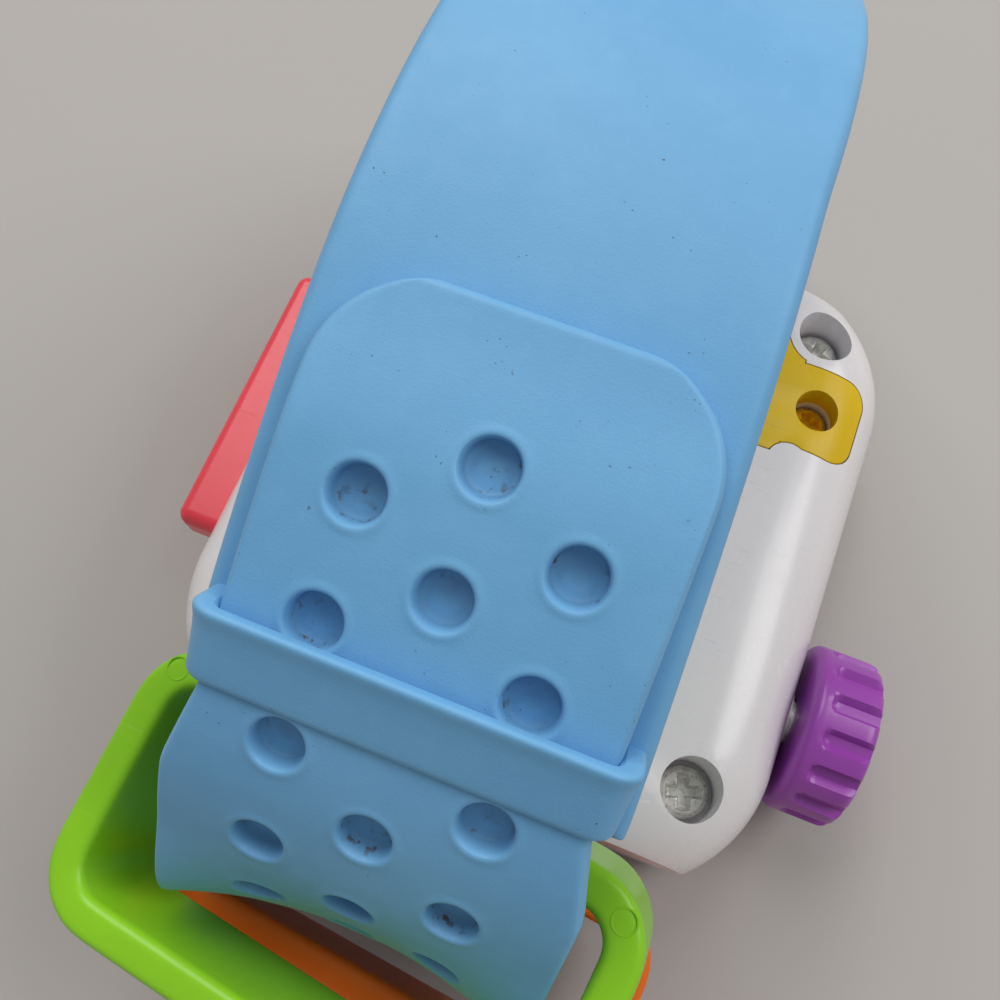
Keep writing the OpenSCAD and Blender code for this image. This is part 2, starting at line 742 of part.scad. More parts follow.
module dial() {
    color("#f4efe0") difference() {
        translate([0, 0, dial_z]) cylinder(d = dial_d, h = dial_t);
        translate([0, 0, dial_z - 1]) cylinder(d = post_d, h = dial_t + 2);
        hour_mark_pegs(mark_d / 2, dial_z - 1, dial_t + 2);
    }
}

// Twelve round pegs on the hour ring
module hour_mark_pegs(d, z, h) {
    for (i = [0 : 11]) rotate(30 * i) translate([0, mark_ring_r, z]) cylinder(d = d, h = h);
}

module hour_marks() {
    color(orange) {
        hour_mark_pegs(mark_d / 2, dial_z, dial_t);
        hour_mark_pegs(mark_d, dial_z - mark_t, mark_t);
    }
}

module centre_post() {
    flange_d = 2 * post_d;
    flange_t = 1;
    color(steel) {
        translate([0, 0, minute_z - hand_gap]) cylinder(d = post_d, h = dial_back_z - minute_z + hand_gap);
        translate([0, 0, cap_z]) cylinder(d = tip_post_d, h = cap_t);
        translate([0, 0, dial_back_z]) cylinder(d = flange_d, h = flange_t);
    }
}

// Hand lying along angle, with a round hub, a straight arm and a round end
module hand(length, arm_w, z, angle) {
    end_r = arm_w * 0.75;
    translate([0, 0, z]) difference() {
        rotate(angle) union() {
            cylinder(d = hub_d, h = hand_t);
            translate([-arm_w / 2, 0, 0]) cube([arm_w, length - end_r, hand_t]);
            translate([0, length - end_r, 0]) cylinder(r = end_r, h = hand_t);
        }
        translate([0, 0, -1]) cylinder(d = post_d + 2 * run_gap, h = hand_t + 2);
    }
}

// The 12 o'clock end is towards the rings, and the face is seen from below
module hour_hand() {
    color(red) hand(hour_l, hour_arm_w, hour_z, hour_angle);
}

module minute_hand() {
    color(purple) hand(minute_l, minute_arm_w, minute_z, minute_angle);
}

module hand_washer() {
    color(steel) translate([0, 0, washer_z]) difference() {
        cylinder(d = hub_d - 2 * washer_edge, h = washer_t);
        translate([0, 0, -1]) cylinder(d = post_d, h = washer_t + 2);
    }
}

module post_cap() {
    color(yellow) translate([0, 0, cap_z]) difference() {
        cylinder(d = hub_d - 2 * washer_edge, h = cap_t);
        translate([0, 0, -1]) cylinder(d = tip_post_d, h = cap_t + 2);
    }
}

// Places its children with z along the crown's axis, pointing out of the case
module on_crown(x) {
    translate([x, crown_y, crown_z]) rotate([0, 90, 0]) children();
}

module crown_bush() {
    color(steel) difference() {
        union() {
            on_crown(flange_x) cylinder(d = bush_flange_d, h = bush_flange_t);
            on_crown(flange_x) cylinder(d = bush_d, h = bush_flange_t + wall);
        }
        on_crown(flange_x - 1) cylinder(d = shaft_d + 2 * run_gap, h = wall + 4);
    }
}

module crown_shaft() {
    color(steel) difference() {
        on_crown(star_x) cylinder(d = shaft_d, h = shaft_end_x - star_x);
        on_crown(star_x - 1) cylinder(d = small_shank_d, h = small_shank_l + 1);
    }
}

module crown_knob() {
    color(purple) difference() {
        on_crown(knob_x) rotate_extrude() edge_section(knob_d / 2, 0, knob_l, knob_edge, knob_edge);
        on_crown(knob_x - 1) cylinder(d = shaft_d, h = shaft_end_x - knob_x + 1);
        for (i = [0 : grooves - 1]) on_crown(knob_x + groove_collar + groove_w / 2) rotate(360 / grooves * i)
            translate([knob_d / 2 - groove_depth, 0, 0]) {
                translate([0, -groove_w / 2, 0]) cube([knob_d, groove_w, knob_l]);
                rotate([0, 90, 0]) cylinder(d = groove_w, h = knob_d);
            }
    }
}

module star_wheel() {
    color("#d8d4c8") on_crown(star_x) difference() {
        cylinder(r = star_r, h = star_t);
        translate([0, 0, -1]) cylinder(d = shaft_d, h = star_t + 2);
        for (i = [0 : clicks - 1]) rotate(360 / clicks * i)
            translate([-star_hollow_at, 0, -1]) cylinder(r = star_hollow_r, h = star_t + 2);
    }
}

module shaft_screw() {
    color(steel) on_crown(star_x) mirror([0, 0, 1])
        pan_screw(shaft_head_d, shaft_head_t, small_shank_d, small_shank_l);
}

// Leaf over the star wheel, with a round nose that rests in one of its hollows
module click_spring() {
    nose_r = star_hollow_r - slide_gap;
    nose_z = crown_z + star_hollow_at;
    color(steel) difference() {
        union() {
            translate([post_x - leaf_w / 2, crown_y - leaf_tail, leaf_z])
                cube([leaf_w, leaf_reach + leaf_tail + click_post_d / 2, leaf_t]);
            translate([post_x - leaf_w / 2, crown_y, nose_z]) rotate([0, 90, 0])
                cylinder(r = nose_r, h = leaf_w);
        }
        translate([post_x, leaf_y, leaf_z - 1]) cylinder(d = small_shank_d, h = leaf_t + 2);
    }
}

module click_screw() {
    color(steel) translate([post_x, leaf_y, leaf_z + leaf_t])
        pan_screw(click_head_d, click_head_t, small_shank_d, small_shank_l);
}

module side_button() {
    nub_d = spring_d - spring_wire - 2 * seat_gap;
    color(red) {
        translate([-side_x - bar_out, 0, bar_mid_z]) rotate([0, 90, 0])
            translate([0, 0, bar_edge]) linear_extrude(bar_out + side_x - flange_out_x - bar_edge)
                rounded_plan(bar_h, bar_l, bar_r);
        translate([-side_x - bar_out, 0, bar_mid_z]) rotate([0, 90, 0])
            cushion(bar_h, bar_l, bar_r, 0, 2 * bar_edge, bar_edge, 0);
        translate([-flange_out_x, -bar_l / 2 - bar_flange, bar_low_z])
            cube([bar_flange_t, bar_l + 2 * bar_flange, bar_h]);
        for (y = [-spring_y, spring_y]) translate([-flange_in_x - eps, y, bar_mid_z]) rotate([0, 90, 0])
            cylinder(d = nub_d, h = bar_flange_t);
    }
}

// Wire swept along a coil whose axis is z, with flat closed ends
module coil(mean_d, wire, turns, length) {
    around = 8;
    per_turn = 16;
    count = turns * per_turn;
    rise = length - wire;
    rings = [for (i = [0 : count])
        let (a = 360 * i / per_turn, z = wire / 2 + rise * i / count)
        [for (j = [0 : around - 1])
            let (b = 360 * j / around)
            [(mean_d / 2 + wire / 2 * cos(b)) * cos(a), (mean_d / 2 + wire / 2 * cos(b)) * sin(a),
                z + wire / 2 * sin(b)]]];
    points = [for (ring = rings) for (p = ring) p];
    sides = [for (i = [0 : count - 1]) for (j = [0 : around - 1])
        let (k = (j + 1) % around, a = i * around, b = a + around)
        for (t = [[a + j, a + k, b + k], [a + j, b + k, b + j]]) t];
    ends = [for (j = [1 : around - 2])
        for (t = [[0, j + 1, j], [count * around, count * around + j, count * around + j + 1]]) t];
    polyhedron(points, concat(sides, ends));
}

module button_springs() {
    color(steel) for (y = [-spring_y, spring_y]) translate([-flange_in_x, y, bar_mid_z]) rotate([0, 90, 0])
        coil(spring_d, spring_wire, spring_turns, spring_l);
}

// Section of the keeper: a rounded band that grows out of the plain strap's edges
module keeper_section(under) {
    full_h = under + keeper_t + strap_t;
    translate([0, strap_t - full_h / 2]) rounded_plan(plain_w, full_h, keeper_r);
}

// Side outline of the plain strap: from above as far as the crest, then from behind down to the root
module plain_outline() {
    near_y = -seat_y;
    near_x = plain_w / 2;
    left_x = -loop_lean - crest_w / 2;
    right_x = -loop_lean + crest_w / 2;
    left_back_x = -back_lean - back_w / 2;
    right_back_x = -back_lean + back_w / 2;
    root_x = root_w / 2;
    back_z = crest_z - back_drop;
    bend_top_z = root_z + plain_bend_r;
    translate([0, 0, -case_t]) linear_extrude(2 * crest_z) polygon([
        [-near_x, 2 * near_y], [near_x, 2 * near_y], [near_x, near_y],
        [right_x, crest_y], [left_x, crest_y], [-near_x, near_y]
    ]);
    translate([0, 2 * far_y, 0]) rotate([90, 0, 0]) linear_extrude(2 * far_y - crest_y) polygon([
        [left_x, 2 * crest_z], [left_x, crest_z], [left_back_x, back_z], [-root_x, bend_top_z],
        [-root_x, -strap_t], [root_x, -strap_t], [root_x, bend_top_z], [right_back_x, back_z],
        [right_x, crest_z], [right_x, 2 * crest_z]
    ]);
}

module plain_strap() {
    under = lay_gap + strap_t + slide_gap;
    color(blue) difference() {
        union() {
            intersection() {
                band(0, plain_end_s, -strap_t, false, plain_w + 1);
                plain_outline();
            }
            strap_root(root_w);
            on_loop(keeper_s) rotate([90, 0, 0]) translate([0, 0, -keeper_l / 2])
                linear_extrude(keeper_l) difference() {
                    keeper_section(under);
                    translate([0, -under / 2 + keeper_r / 2])
                        rounded_plan(keeper_in_w, under + keeper_r, keeper_r / 3);
                }
        }
        pin_bore(root_w);
    }
}

// Plan of the dimpled strap: round tip, slight taper, full width from the bend down
module dimpled_plan() {
    far_y = ring_side_y - 2 * strap_t;
    corner_y = tip_y - tip_r;
    polygon([
        [tip_w / 2, corner_y], [tip_w / 2, taper_y0], [dimpled_w / 2, taper_y1], [dimpled_w / 2, far_y],
        [-dimpled_w / 2, far_y], [-dimpled_w / 2, taper_y1], [-tip_w / 2, taper_y0], [-tip_w / 2, corner_y]
    ]);
    translate([0, corner_y]) square([tip_w - 2 * tip_r, 2 * tip_r], center = true);
    for (side = [-1, 1]) translate([side * (tip_w / 2 - tip_r), corner_y]) circle(tip_r);
}

module dimple(s, x) {
    on_loop(s) translate([x, 0, -lay_gap - strap_t - 1]) cylinder(d = dimple_d, h = 1 + dimple_depth);
}

module dimpled_strap() {
    color(blue) difference() {
        union() {
            intersection() {
                band(tip_s - strap_t, loop_end_s, lay_gap, true, dimpled_w);
                translate([0, 0, -case_t]) linear_extrude(2 * crest_z) dimpled_plan();
            }
            rotate(180) strap_root(dimpled_w);
        }
        for (row = [0 : dimple_rows - 1]) {
            s = tip_s + dimple_first + row * dimple_pitch;
            if (row % 2 == 0) dimple(s, 0);
            else for (side = [-1, 1]) dimple(s, side * dimple_x);
        }
        rotate(180) pin_bore(dimpled_w);
    }
}

module strap_pins() {
    color(steel) for (place = [[0, root_w], [180, dimpled_w]]) rotate(place[0])
        translate([-place[1] / 2 + pin_short, bead_y - bead_t / 2, root_z + bead_h / 2])
            rotate([0, 90, 0]) cylinder(d = pin_d, h = place[1] - 2 * pin_short);
}

// Ring with round corners, its axis along z and its upper rim at z = 0
module loop_ring(l, w) {
    mark_x = l / 2 - mark_pin_edge;
    mark_y = w / 2 - mark_pin_edge;
    translate([0, 0, -ring_h]) difference() {
        linear_extrude(ring_h) difference() {
            rounded_plan(l, w, ring_r);
            rounded_plan(l - 2 * ring_wall, w - 2 * ring_wall, ring_in_r);
        }
        for (x = [-1, 1], y = [-1, 1]) translate([x * mark_x, y * mark_y, ring_h - mark_pin_depth])
            cylinder(d = mark_pin_d, h = 1);
    }
}

module orange_ring() {
    color(orange) translate([orange_x, orange_y, ring_foot_z + ring_h]) rotate(-ring_twist)
        loop_ring(orange_l, orange_w);
}

module green_ring() {
    color(green) translate([-green_x, ring_side_y + green_y, green_z]) rotate([ring_lean, 0, 0])
        rotate([0, -ring_roll, 0]) rotate(-ring_twist) loop_ring(green_l, green_w);
}

front_shell();
back_cover();
case_screws();
hatch();
hatch_screws();
bezel();
dial();
hour_marks();
centre_post();
hour_hand();
hand_washer();
minute_hand();
post_cap();
crown_bush();
crown_shaft();
crown_knob();
star_wheel();
shaft_screw();
click_spring();
click_screw();
side_button();
button_springs();
plain_strap();
dimpled_strap();
strap_pins();
orange_ring();
green_ring();
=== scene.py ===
"""Looks of a toy watch that lies on its face with its strap buckled into a loop.

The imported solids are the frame. The straps, loop rings, knob, screws and other pieces are rebuilt here with
rounded edges and moulded detail. Sizes are in millimetres and meshes in metres, in the frame of the solids:
+Z points out of the back, +X to the crown and +Y to the end that carries the plain strap.
"""

from __future__ import annotations

import json
import logging
import math
from collections.abc import Sequence
from dataclasses import dataclass, field
from enum import Enum

import bmesh
import bpy
from mathutils import Matrix, Vector

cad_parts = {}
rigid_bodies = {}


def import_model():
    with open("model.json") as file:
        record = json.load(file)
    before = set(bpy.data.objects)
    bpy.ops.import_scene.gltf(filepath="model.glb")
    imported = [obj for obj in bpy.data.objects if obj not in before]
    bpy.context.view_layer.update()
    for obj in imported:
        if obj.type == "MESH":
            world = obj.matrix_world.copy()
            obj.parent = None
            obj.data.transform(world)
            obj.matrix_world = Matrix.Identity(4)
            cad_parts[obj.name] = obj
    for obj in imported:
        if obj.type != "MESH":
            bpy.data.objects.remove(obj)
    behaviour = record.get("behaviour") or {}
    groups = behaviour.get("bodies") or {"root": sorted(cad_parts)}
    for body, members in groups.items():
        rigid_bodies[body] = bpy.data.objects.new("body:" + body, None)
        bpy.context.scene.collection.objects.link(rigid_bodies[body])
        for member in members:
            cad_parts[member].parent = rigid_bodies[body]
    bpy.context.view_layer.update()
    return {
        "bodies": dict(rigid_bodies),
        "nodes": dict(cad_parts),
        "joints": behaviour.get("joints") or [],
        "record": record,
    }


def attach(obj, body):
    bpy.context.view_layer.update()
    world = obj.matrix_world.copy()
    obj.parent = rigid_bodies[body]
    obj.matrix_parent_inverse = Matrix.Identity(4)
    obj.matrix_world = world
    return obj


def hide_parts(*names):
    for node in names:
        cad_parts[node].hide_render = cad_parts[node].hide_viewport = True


LOG = logging.getLogger("toy_watch")
MM = 0.001
Colour = tuple[float, float, float]
Point = tuple[float, float, float]
Pair = tuple[float, float]
WELD_MM = 0.002
FLAT_DEG = 1.0
BEVEL_STEPS = 3
CREASE_DEG = 50.0


def smooth_step(low: float, high: float, value: float) -> float:
    """Rises smoothly from 0 at low to 1 at high, read at a value."""
    t = min(1.0, max(0.0, (value - low) / (high - low)))
    return t * t * (3.0 - 2.0 * t)


def lerp(a: float, b: float, t: float) -> float:
    """Goes from a to b as t goes from 0 to 1, and no further."""
    return a + (b - a) * min(1.0, max(0.0, t))


def put(name: str, data: bpy.types.ID) -> bpy.types.Object:
    """Makes an object in the scene.

    Args:
        name: The object's name.
        data: Its mesh, lamp or camera.

    Returns:
        The object.
    """
    obj = bpy.data.objects.new(name, data)
    bpy.context.scene.collection.objects.link(obj)
    return obj


def smooth(mesh: bpy.types.Mesh) -> None:
    """Shades every face of a mesh smooth."""
    mesh.polygons.foreach_set("use_smooth", [True] * len(mesh.polygons))


class Body(Enum):
    """Bodies of the frame that a piece can ride on."""

    CASE = "case"
    CROWN = "crown"
    HOUR = "hour"
    MINUTE = "minute"
    BUTTON = "button"
    LOWER_RING = "lower_ring"
    UPPER_RING = "upper_ring"


class Wire:
    """A shader socket that takes part in Python arithmetic."""

    def __init__(self, book: MaterialBook, socket: bpy.types.NodeSocket) -> None:
        """Keeps the socket and the material that it belongs to."""
        self.book = book
        self.socket = socket

    def _math(self, operation: str, other: Wire | float, swapped: bool = False) -> Wire:
        """Adds one Math node; swapped makes this wire the second operand."""
        first, second = (other, self) if swapped else (self, other)
        return self.book.node("ShaderNodeMath", {"operation": operation}, {0: first, 1: second})

    def __add__(self, other: Wire | float) -> Wire:
        """Sum."""
        return self._math("ADD", other)

    def __rsub__(self, other: float) -> Wire:
        """Difference from a number."""
        return self._math("SUBTRACT", other, swapped=True)

    def __mul__(self, other: Wire | float) -> Wire:
        """Product."""
        return self._math("MULTIPLY", other)

    def step(self, low: float, high: float) -> Wire:
        """Rises smoothly from 0 at low to 1 at high."""
        inputs = {"Value": self, "From Min": low, "From Max": high}
        return self.book.node("ShaderNodeMapRange", {"interpolation_type": "SMOOTHSTEP"}, inputs)


class MaterialBook:
    """One material's node tree, with a Principled shader at its end."""

    def __init__(self, name: str) -> None:
        """Makes an empty material.

        Args:
            name: The material's name.
        """
        self.material = bpy.data.materials.new(name)
        self.material.use_nodes = True
        self.tree = self.material.node_tree
        self.tree.nodes.clear()
        output = self.tree.nodes.new("ShaderNodeOutputMaterial")
        self.shader = self.tree.nodes.new("ShaderNodeBsdfPrincipled")
        self.tree.links.new(self.shader.outputs[0], output.inputs["Surface"])

    def node(
        self, kind: str, settings: dict | None = None, inputs: dict | None = None, output: int | str = 0
    ) -> Wire:
        """Adds a node.

        Args:
            kind: The node's type.
            settings: Its settings, which are set first.
            inputs: Values or wires of its sockets, by name or number.
            output: The socket to return.

        Returns:
            That output.
        """
        made = self.tree.nodes.new(kind)
        for key, value in (settings or {}).items():
            setattr(made, key, value)
        for key, value in (inputs or {}).items():
            self.feed(made.inputs[key], value)
        return Wire(self, made.outputs[output])

    def feed(self, socket: bpy.types.NodeSocket, value: Wire | float | Sequence[float]) -> None:
        """Links a wire to a socket, or sets the socket's own value.

        Args:
            socket: The socket to feed.
            value: A wire or a value.
        """
        if isinstance(value, Wire):
            self.tree.links.new(value.socket, socket)
        else:
            socket.default_value = value

    def place(self, stretch: Point = (1.0, 1.0, 1.0)) -> Wire:
        """Position on the piece in millimetres.

        Args:
            stretch: Factor along each axis, to draw a pattern out.

        Returns:
            A vector.
        """
        raw = self.node("ShaderNodeTexCoord", output="Object")
        scale = tuple(s / MM for s in stretch)
        return self.node("ShaderNodeVectorMath", {"operation": "MULTIPLY"}, {0: raw, 1: scale})

    def noise(self, per_mm: float, detail: float = 2.0, where: Wire | None = None) -> Wire:
        """Noise with that many waves to the millimetre, around 0.5."""
        inputs = {"Vector": where or self.place(), "Scale": per_mm, "Detail": detail}
        return self.node("ShaderNodeTexNoise", {"noise_dimensions": "3D"}, inputs)

    def blend(self, amount: Wire | float, a: Wire | Colour, b: Wire | Colour) -> Wire:
        """Mixes two colours.

        Args:
            amount: 0 for the first and 1 for the second.
            a: First colour.
            b: Second colour.

        Returns:
            The mixed colour.
        """
        first = a if isinstance(a, Wire) else (*a, 1.0)
        second = b if isinstance(b, Wire) else (*b, 1.0)
        return self.node("ShaderNodeMix", {"data_type": "RGBA"}, {0: amount, 6: first, 7: second}, output=2)

    def bump(self, height: Wire, depth_mm: float) -> Wire:
        """A normal bent by a height of 0 to 1 that stands for depth_mm."""
        inputs = {"Height": height, "Distance": depth_mm * MM, "Strength": 1.0}
        return self.node("ShaderNodeBump", None, inputs)

    def finish(self, **sockets: Wire | float | Sequence[float]) -> bpy.types.Material:
        """Sets the shader's sockets.

        Args:
            sockets: Values by socket name, with underscores for spaces.

        Returns:
            The finished material.
        """
        for key, value in sockets.items():
            self.feed(self.shader.inputs[key.replace("_", " ")], value)
        return self.material


def shade(colour: Colour, factor: float) -> Colour:
    """A colour made darker or lighter by a factor, kept under 1."""
    return tuple(min(0.95, c * factor) for c in colour)


@dataclass(frozen=True)
class MouldedPlastic:
    """Shiny moulded plastic with faint flow marks, scuffs and grime."""

    name: str
    colour: Colour
    roughness: float = 0.34
    spread: float = 0.06
    scuff_colour: Colour = (0.42, 0.40, 0.38)
    scuff: float = 0.10
    coat: float = 0.15
    shine: float = 0.5
    glow: float = 0.0

    def material(self) -> bpy.types.Material:
        """Builds the node material.

        Returns:
            The material.
        """
        book = MaterialBook(self.name)
        flow = book.noise(0.07, 3.0).step(0.3, 0.7)
        dark = shade(self.colour, 1.0 - self.spread)
        light = shade(self.colour, 1.0 + self.spread)
        base = book.blend(flow, dark, light)
        drawn = book.place((0.25, 3.2, 1.1))
        lines = book.noise(0.9, 5.0, drawn).step(0.60, 0.72)
        patches = book.noise(0.16, 4.0).step(0.46, 0.68)
        scratches = lines * patches
        grime = book.noise(0.8, 7.0).step(0.60, 0.80) * patches
        worn = book.blend(scratches * self.scuff * 2.0 + grime * self.scuff, base, self.scuff_colour)
        peel = book.noise(1.6, 2.0)
        height = peel * 0.25 + scratches * -0.5
        rough = book.noise(0.5, 4.0) * 0.10 + scratches * 0.18 + (self.roughness - 0.05)
        return book.finish(
            Base_Color=worn,
            Roughness=rough,
            Normal=book.bump(height, 0.03),
            Coat_Weight=self.coat,
            Coat_Roughness=0.18,
            Specular_IOR_Level=self.shine,
            Subsurface_Weight=self.glow,
            Subsurface_Radius=(1.0, 0.22, 0.06),
            Subsurface_Scale=4.0 * MM,
            IOR=1.5,
        )


@dataclass(frozen=True)
class SoftRubber:
    """Satin strap rubber with a chalky bloom, specks of dust, dirt in its hollows and painted shade that
    darkens the hollows' walls.
    """

    name: str
    colour: Colour
    bloom: Colour
    dirt: Colour = (0.10, 0.075, 0.045)
    roughness: float = 0.52

    def material(self) -> bpy.types.Material:
        """Builds the node material.

        Returns:
            The material.
        """
        book = MaterialBook(self.name)
        cloud = book.noise(0.06, 4.0).step(0.34, 0.70)
        fine = book.noise(0.55, 6.0).step(0.40, 0.75)
        base = book.blend(cloud * 0.55 + fine * 0.25, self.colour, self.bloom)
        specks = book.noise(2.6, 1.0).step(0.735, 0.76) * book.noise(0.22, 2.0).step(0.52, 0.66)
        dusty = book.blend(specks * 0.75, base, shade(self.dirt, 0.6))
        hollow = book.node("ShaderNodeAttribute", {"attribute_name": "hollow"}, output="Fac")
        crumbs = book.noise(1.5, 8.0).step(0.55, 0.66) * book.noise(0.16, 2.0).step(0.46, 0.60)
        film = hollow * (crumbs * 0.95 + fine * 0.14)
        # Painted shade: where the hollow mark is high, the blue is darkened towards a deep blue so the
        # dimples' walls look shadowed; dirt crumbs are then laid over it.
        painted_hollow_shade = book.blend(hollow * 0.32, dusty, shade(self.colour, 0.35))
        soiled_and_shaded = book.blend(film, painted_hollow_shade, self.dirt)
        pores = book.noise(5.0, 3.0) * 0.5 + book.noise(0.35, 3.0) * 0.5
        rough = book.noise(0.4, 4.0) * 0.16 + (self.roughness - 0.08)
        return book.finish(
            Base_Color=soiled_and_shaded,
            Roughness=rough,
            Normal=book.bump(pores, 0.035),
            Specular_IOR_Level=0.42,
            Sheen_Weight=0.08,
            Sheen_Roughness=0.4,
        )


@dataclass(frozen=True)
class WornSteel:
    """Plated steel gone dull, with dirt and a little rust."""

    name: str
    colour: Colour = (0.82, 0.82, 0.77)
    rust: Colour = (0.16, 0.10, 0.055)
    roughness: float = 0.42
    tarnish: float = 0.45
    metal: float = 0.55

    def material(self) -> bpy.types.Material:
        """Builds the node material.

        Returns:
            The material.
        """
        book = MaterialBook(self.name)
        dull = book.noise(0.9, 5.0).step(0.38, 0.70)
        spots = book.noise(2.4, 6.0).step(0.56, 0.68)
        base = book.blend(dull * self.tarnish, self.colour, shade(self.colour, 0.5))
        rusty = book.blend(spots * self.tarnish, base, self.rust)
        rough = book.noise(1.8, 5.0) * 0.25 + (self.roughness - 0.10)
        grit = book.noise(3.0, 6.0)
        return book.finish(
            Base_Color=rusty,
            Metallic=self.metal - spots * (0.6 * self.tarnish),
            Roughness=rough,
            Normal=book.bump(grit, 0.04),
        )


@dataclass(frozen=True)
class FloorPaint:
    """Plain pale matt floor."""

    name: str = "pale_floor"
    colour: Colour = (0.47, 0.45, 0.43)

    def material(self) -> bpy.types.Material:
        """Builds the node material.

        Returns:
            The material.
        """
        book = MaterialBook(self.name)
        cloud = book.noise(0.02, 3.0)
        base = book.blend(cloud, shade(self.colour, 0.985), shade(self.colour, 1.015))
        return book.finish(Base_Color=base, Roughness=0.75, Specular_IOR_Level=0.2)


class Finish(Enum):
    """Finishes of the watch."""

    WHITE = "white_plastic"
    BLUE = "blue_rubber"
    YELLOW = "yellow_plastic"
    GREEN = "green_plastic"
    ORANGE = "orange_plastic"
    PURPLE = "purple_plastic"
    RED = "red_plastic"
    CREAM = "cream_plastic"
    STEEL = "steel"


RECIPES: dict[Finish, MouldedPlastic | SoftRubber | WornSteel] = {
    Finish.WHITE: MouldedPlastic(
        "white_case_plastic", (0.83, 0.80, 0.815), 0.26, 0.015, scuff=0.12, coat=0.3
    ),
    Finish.BLUE: SoftRubber("blue_strap_rubber", (0.155, 0.42, 0.72), (0.19, 0.475, 0.78)),
    Finish.YELLOW: MouldedPlastic("yellow_plastic", (0.80, 0.53, 0.006), 0.36, coat=0.0, shine=0.3),
    Finish.GREEN: MouldedPlastic(
        "green_ring_plastic", (0.265, 0.625, 0.018), 0.30, scuff=0.02, coat=0.0, shine=0.35
    ),
    Finish.ORANGE: MouldedPlastic(
        "orange_ring_plastic", (0.90, 0.17, 0.012), 0.34, scuff=0.02, coat=0.0, shine=0.3, glow=0.45
    ),
    Finish.PURPLE: MouldedPlastic("purple_knob_plastic", (0.36, 0.065, 0.45), 0.32, scuff=0.05),
    Finish.RED: MouldedPlastic("red_button_plastic", (0.92, 0.055, 0.085), 0.36, scuff=0.05),
    Finish.CREAM: MouldedPlastic("cream_dial_plastic", (0.82, 0.78, 0.66), 0.45, 0.02, coat=0.0),
    Finish.STEEL: WornSteel("worn_steel"),
}
YELLOWED = WornSteel("yellowed_steel", (0.90, 0.56, 0.02), (0.45, 0.25, 0.01), metal=0.35)


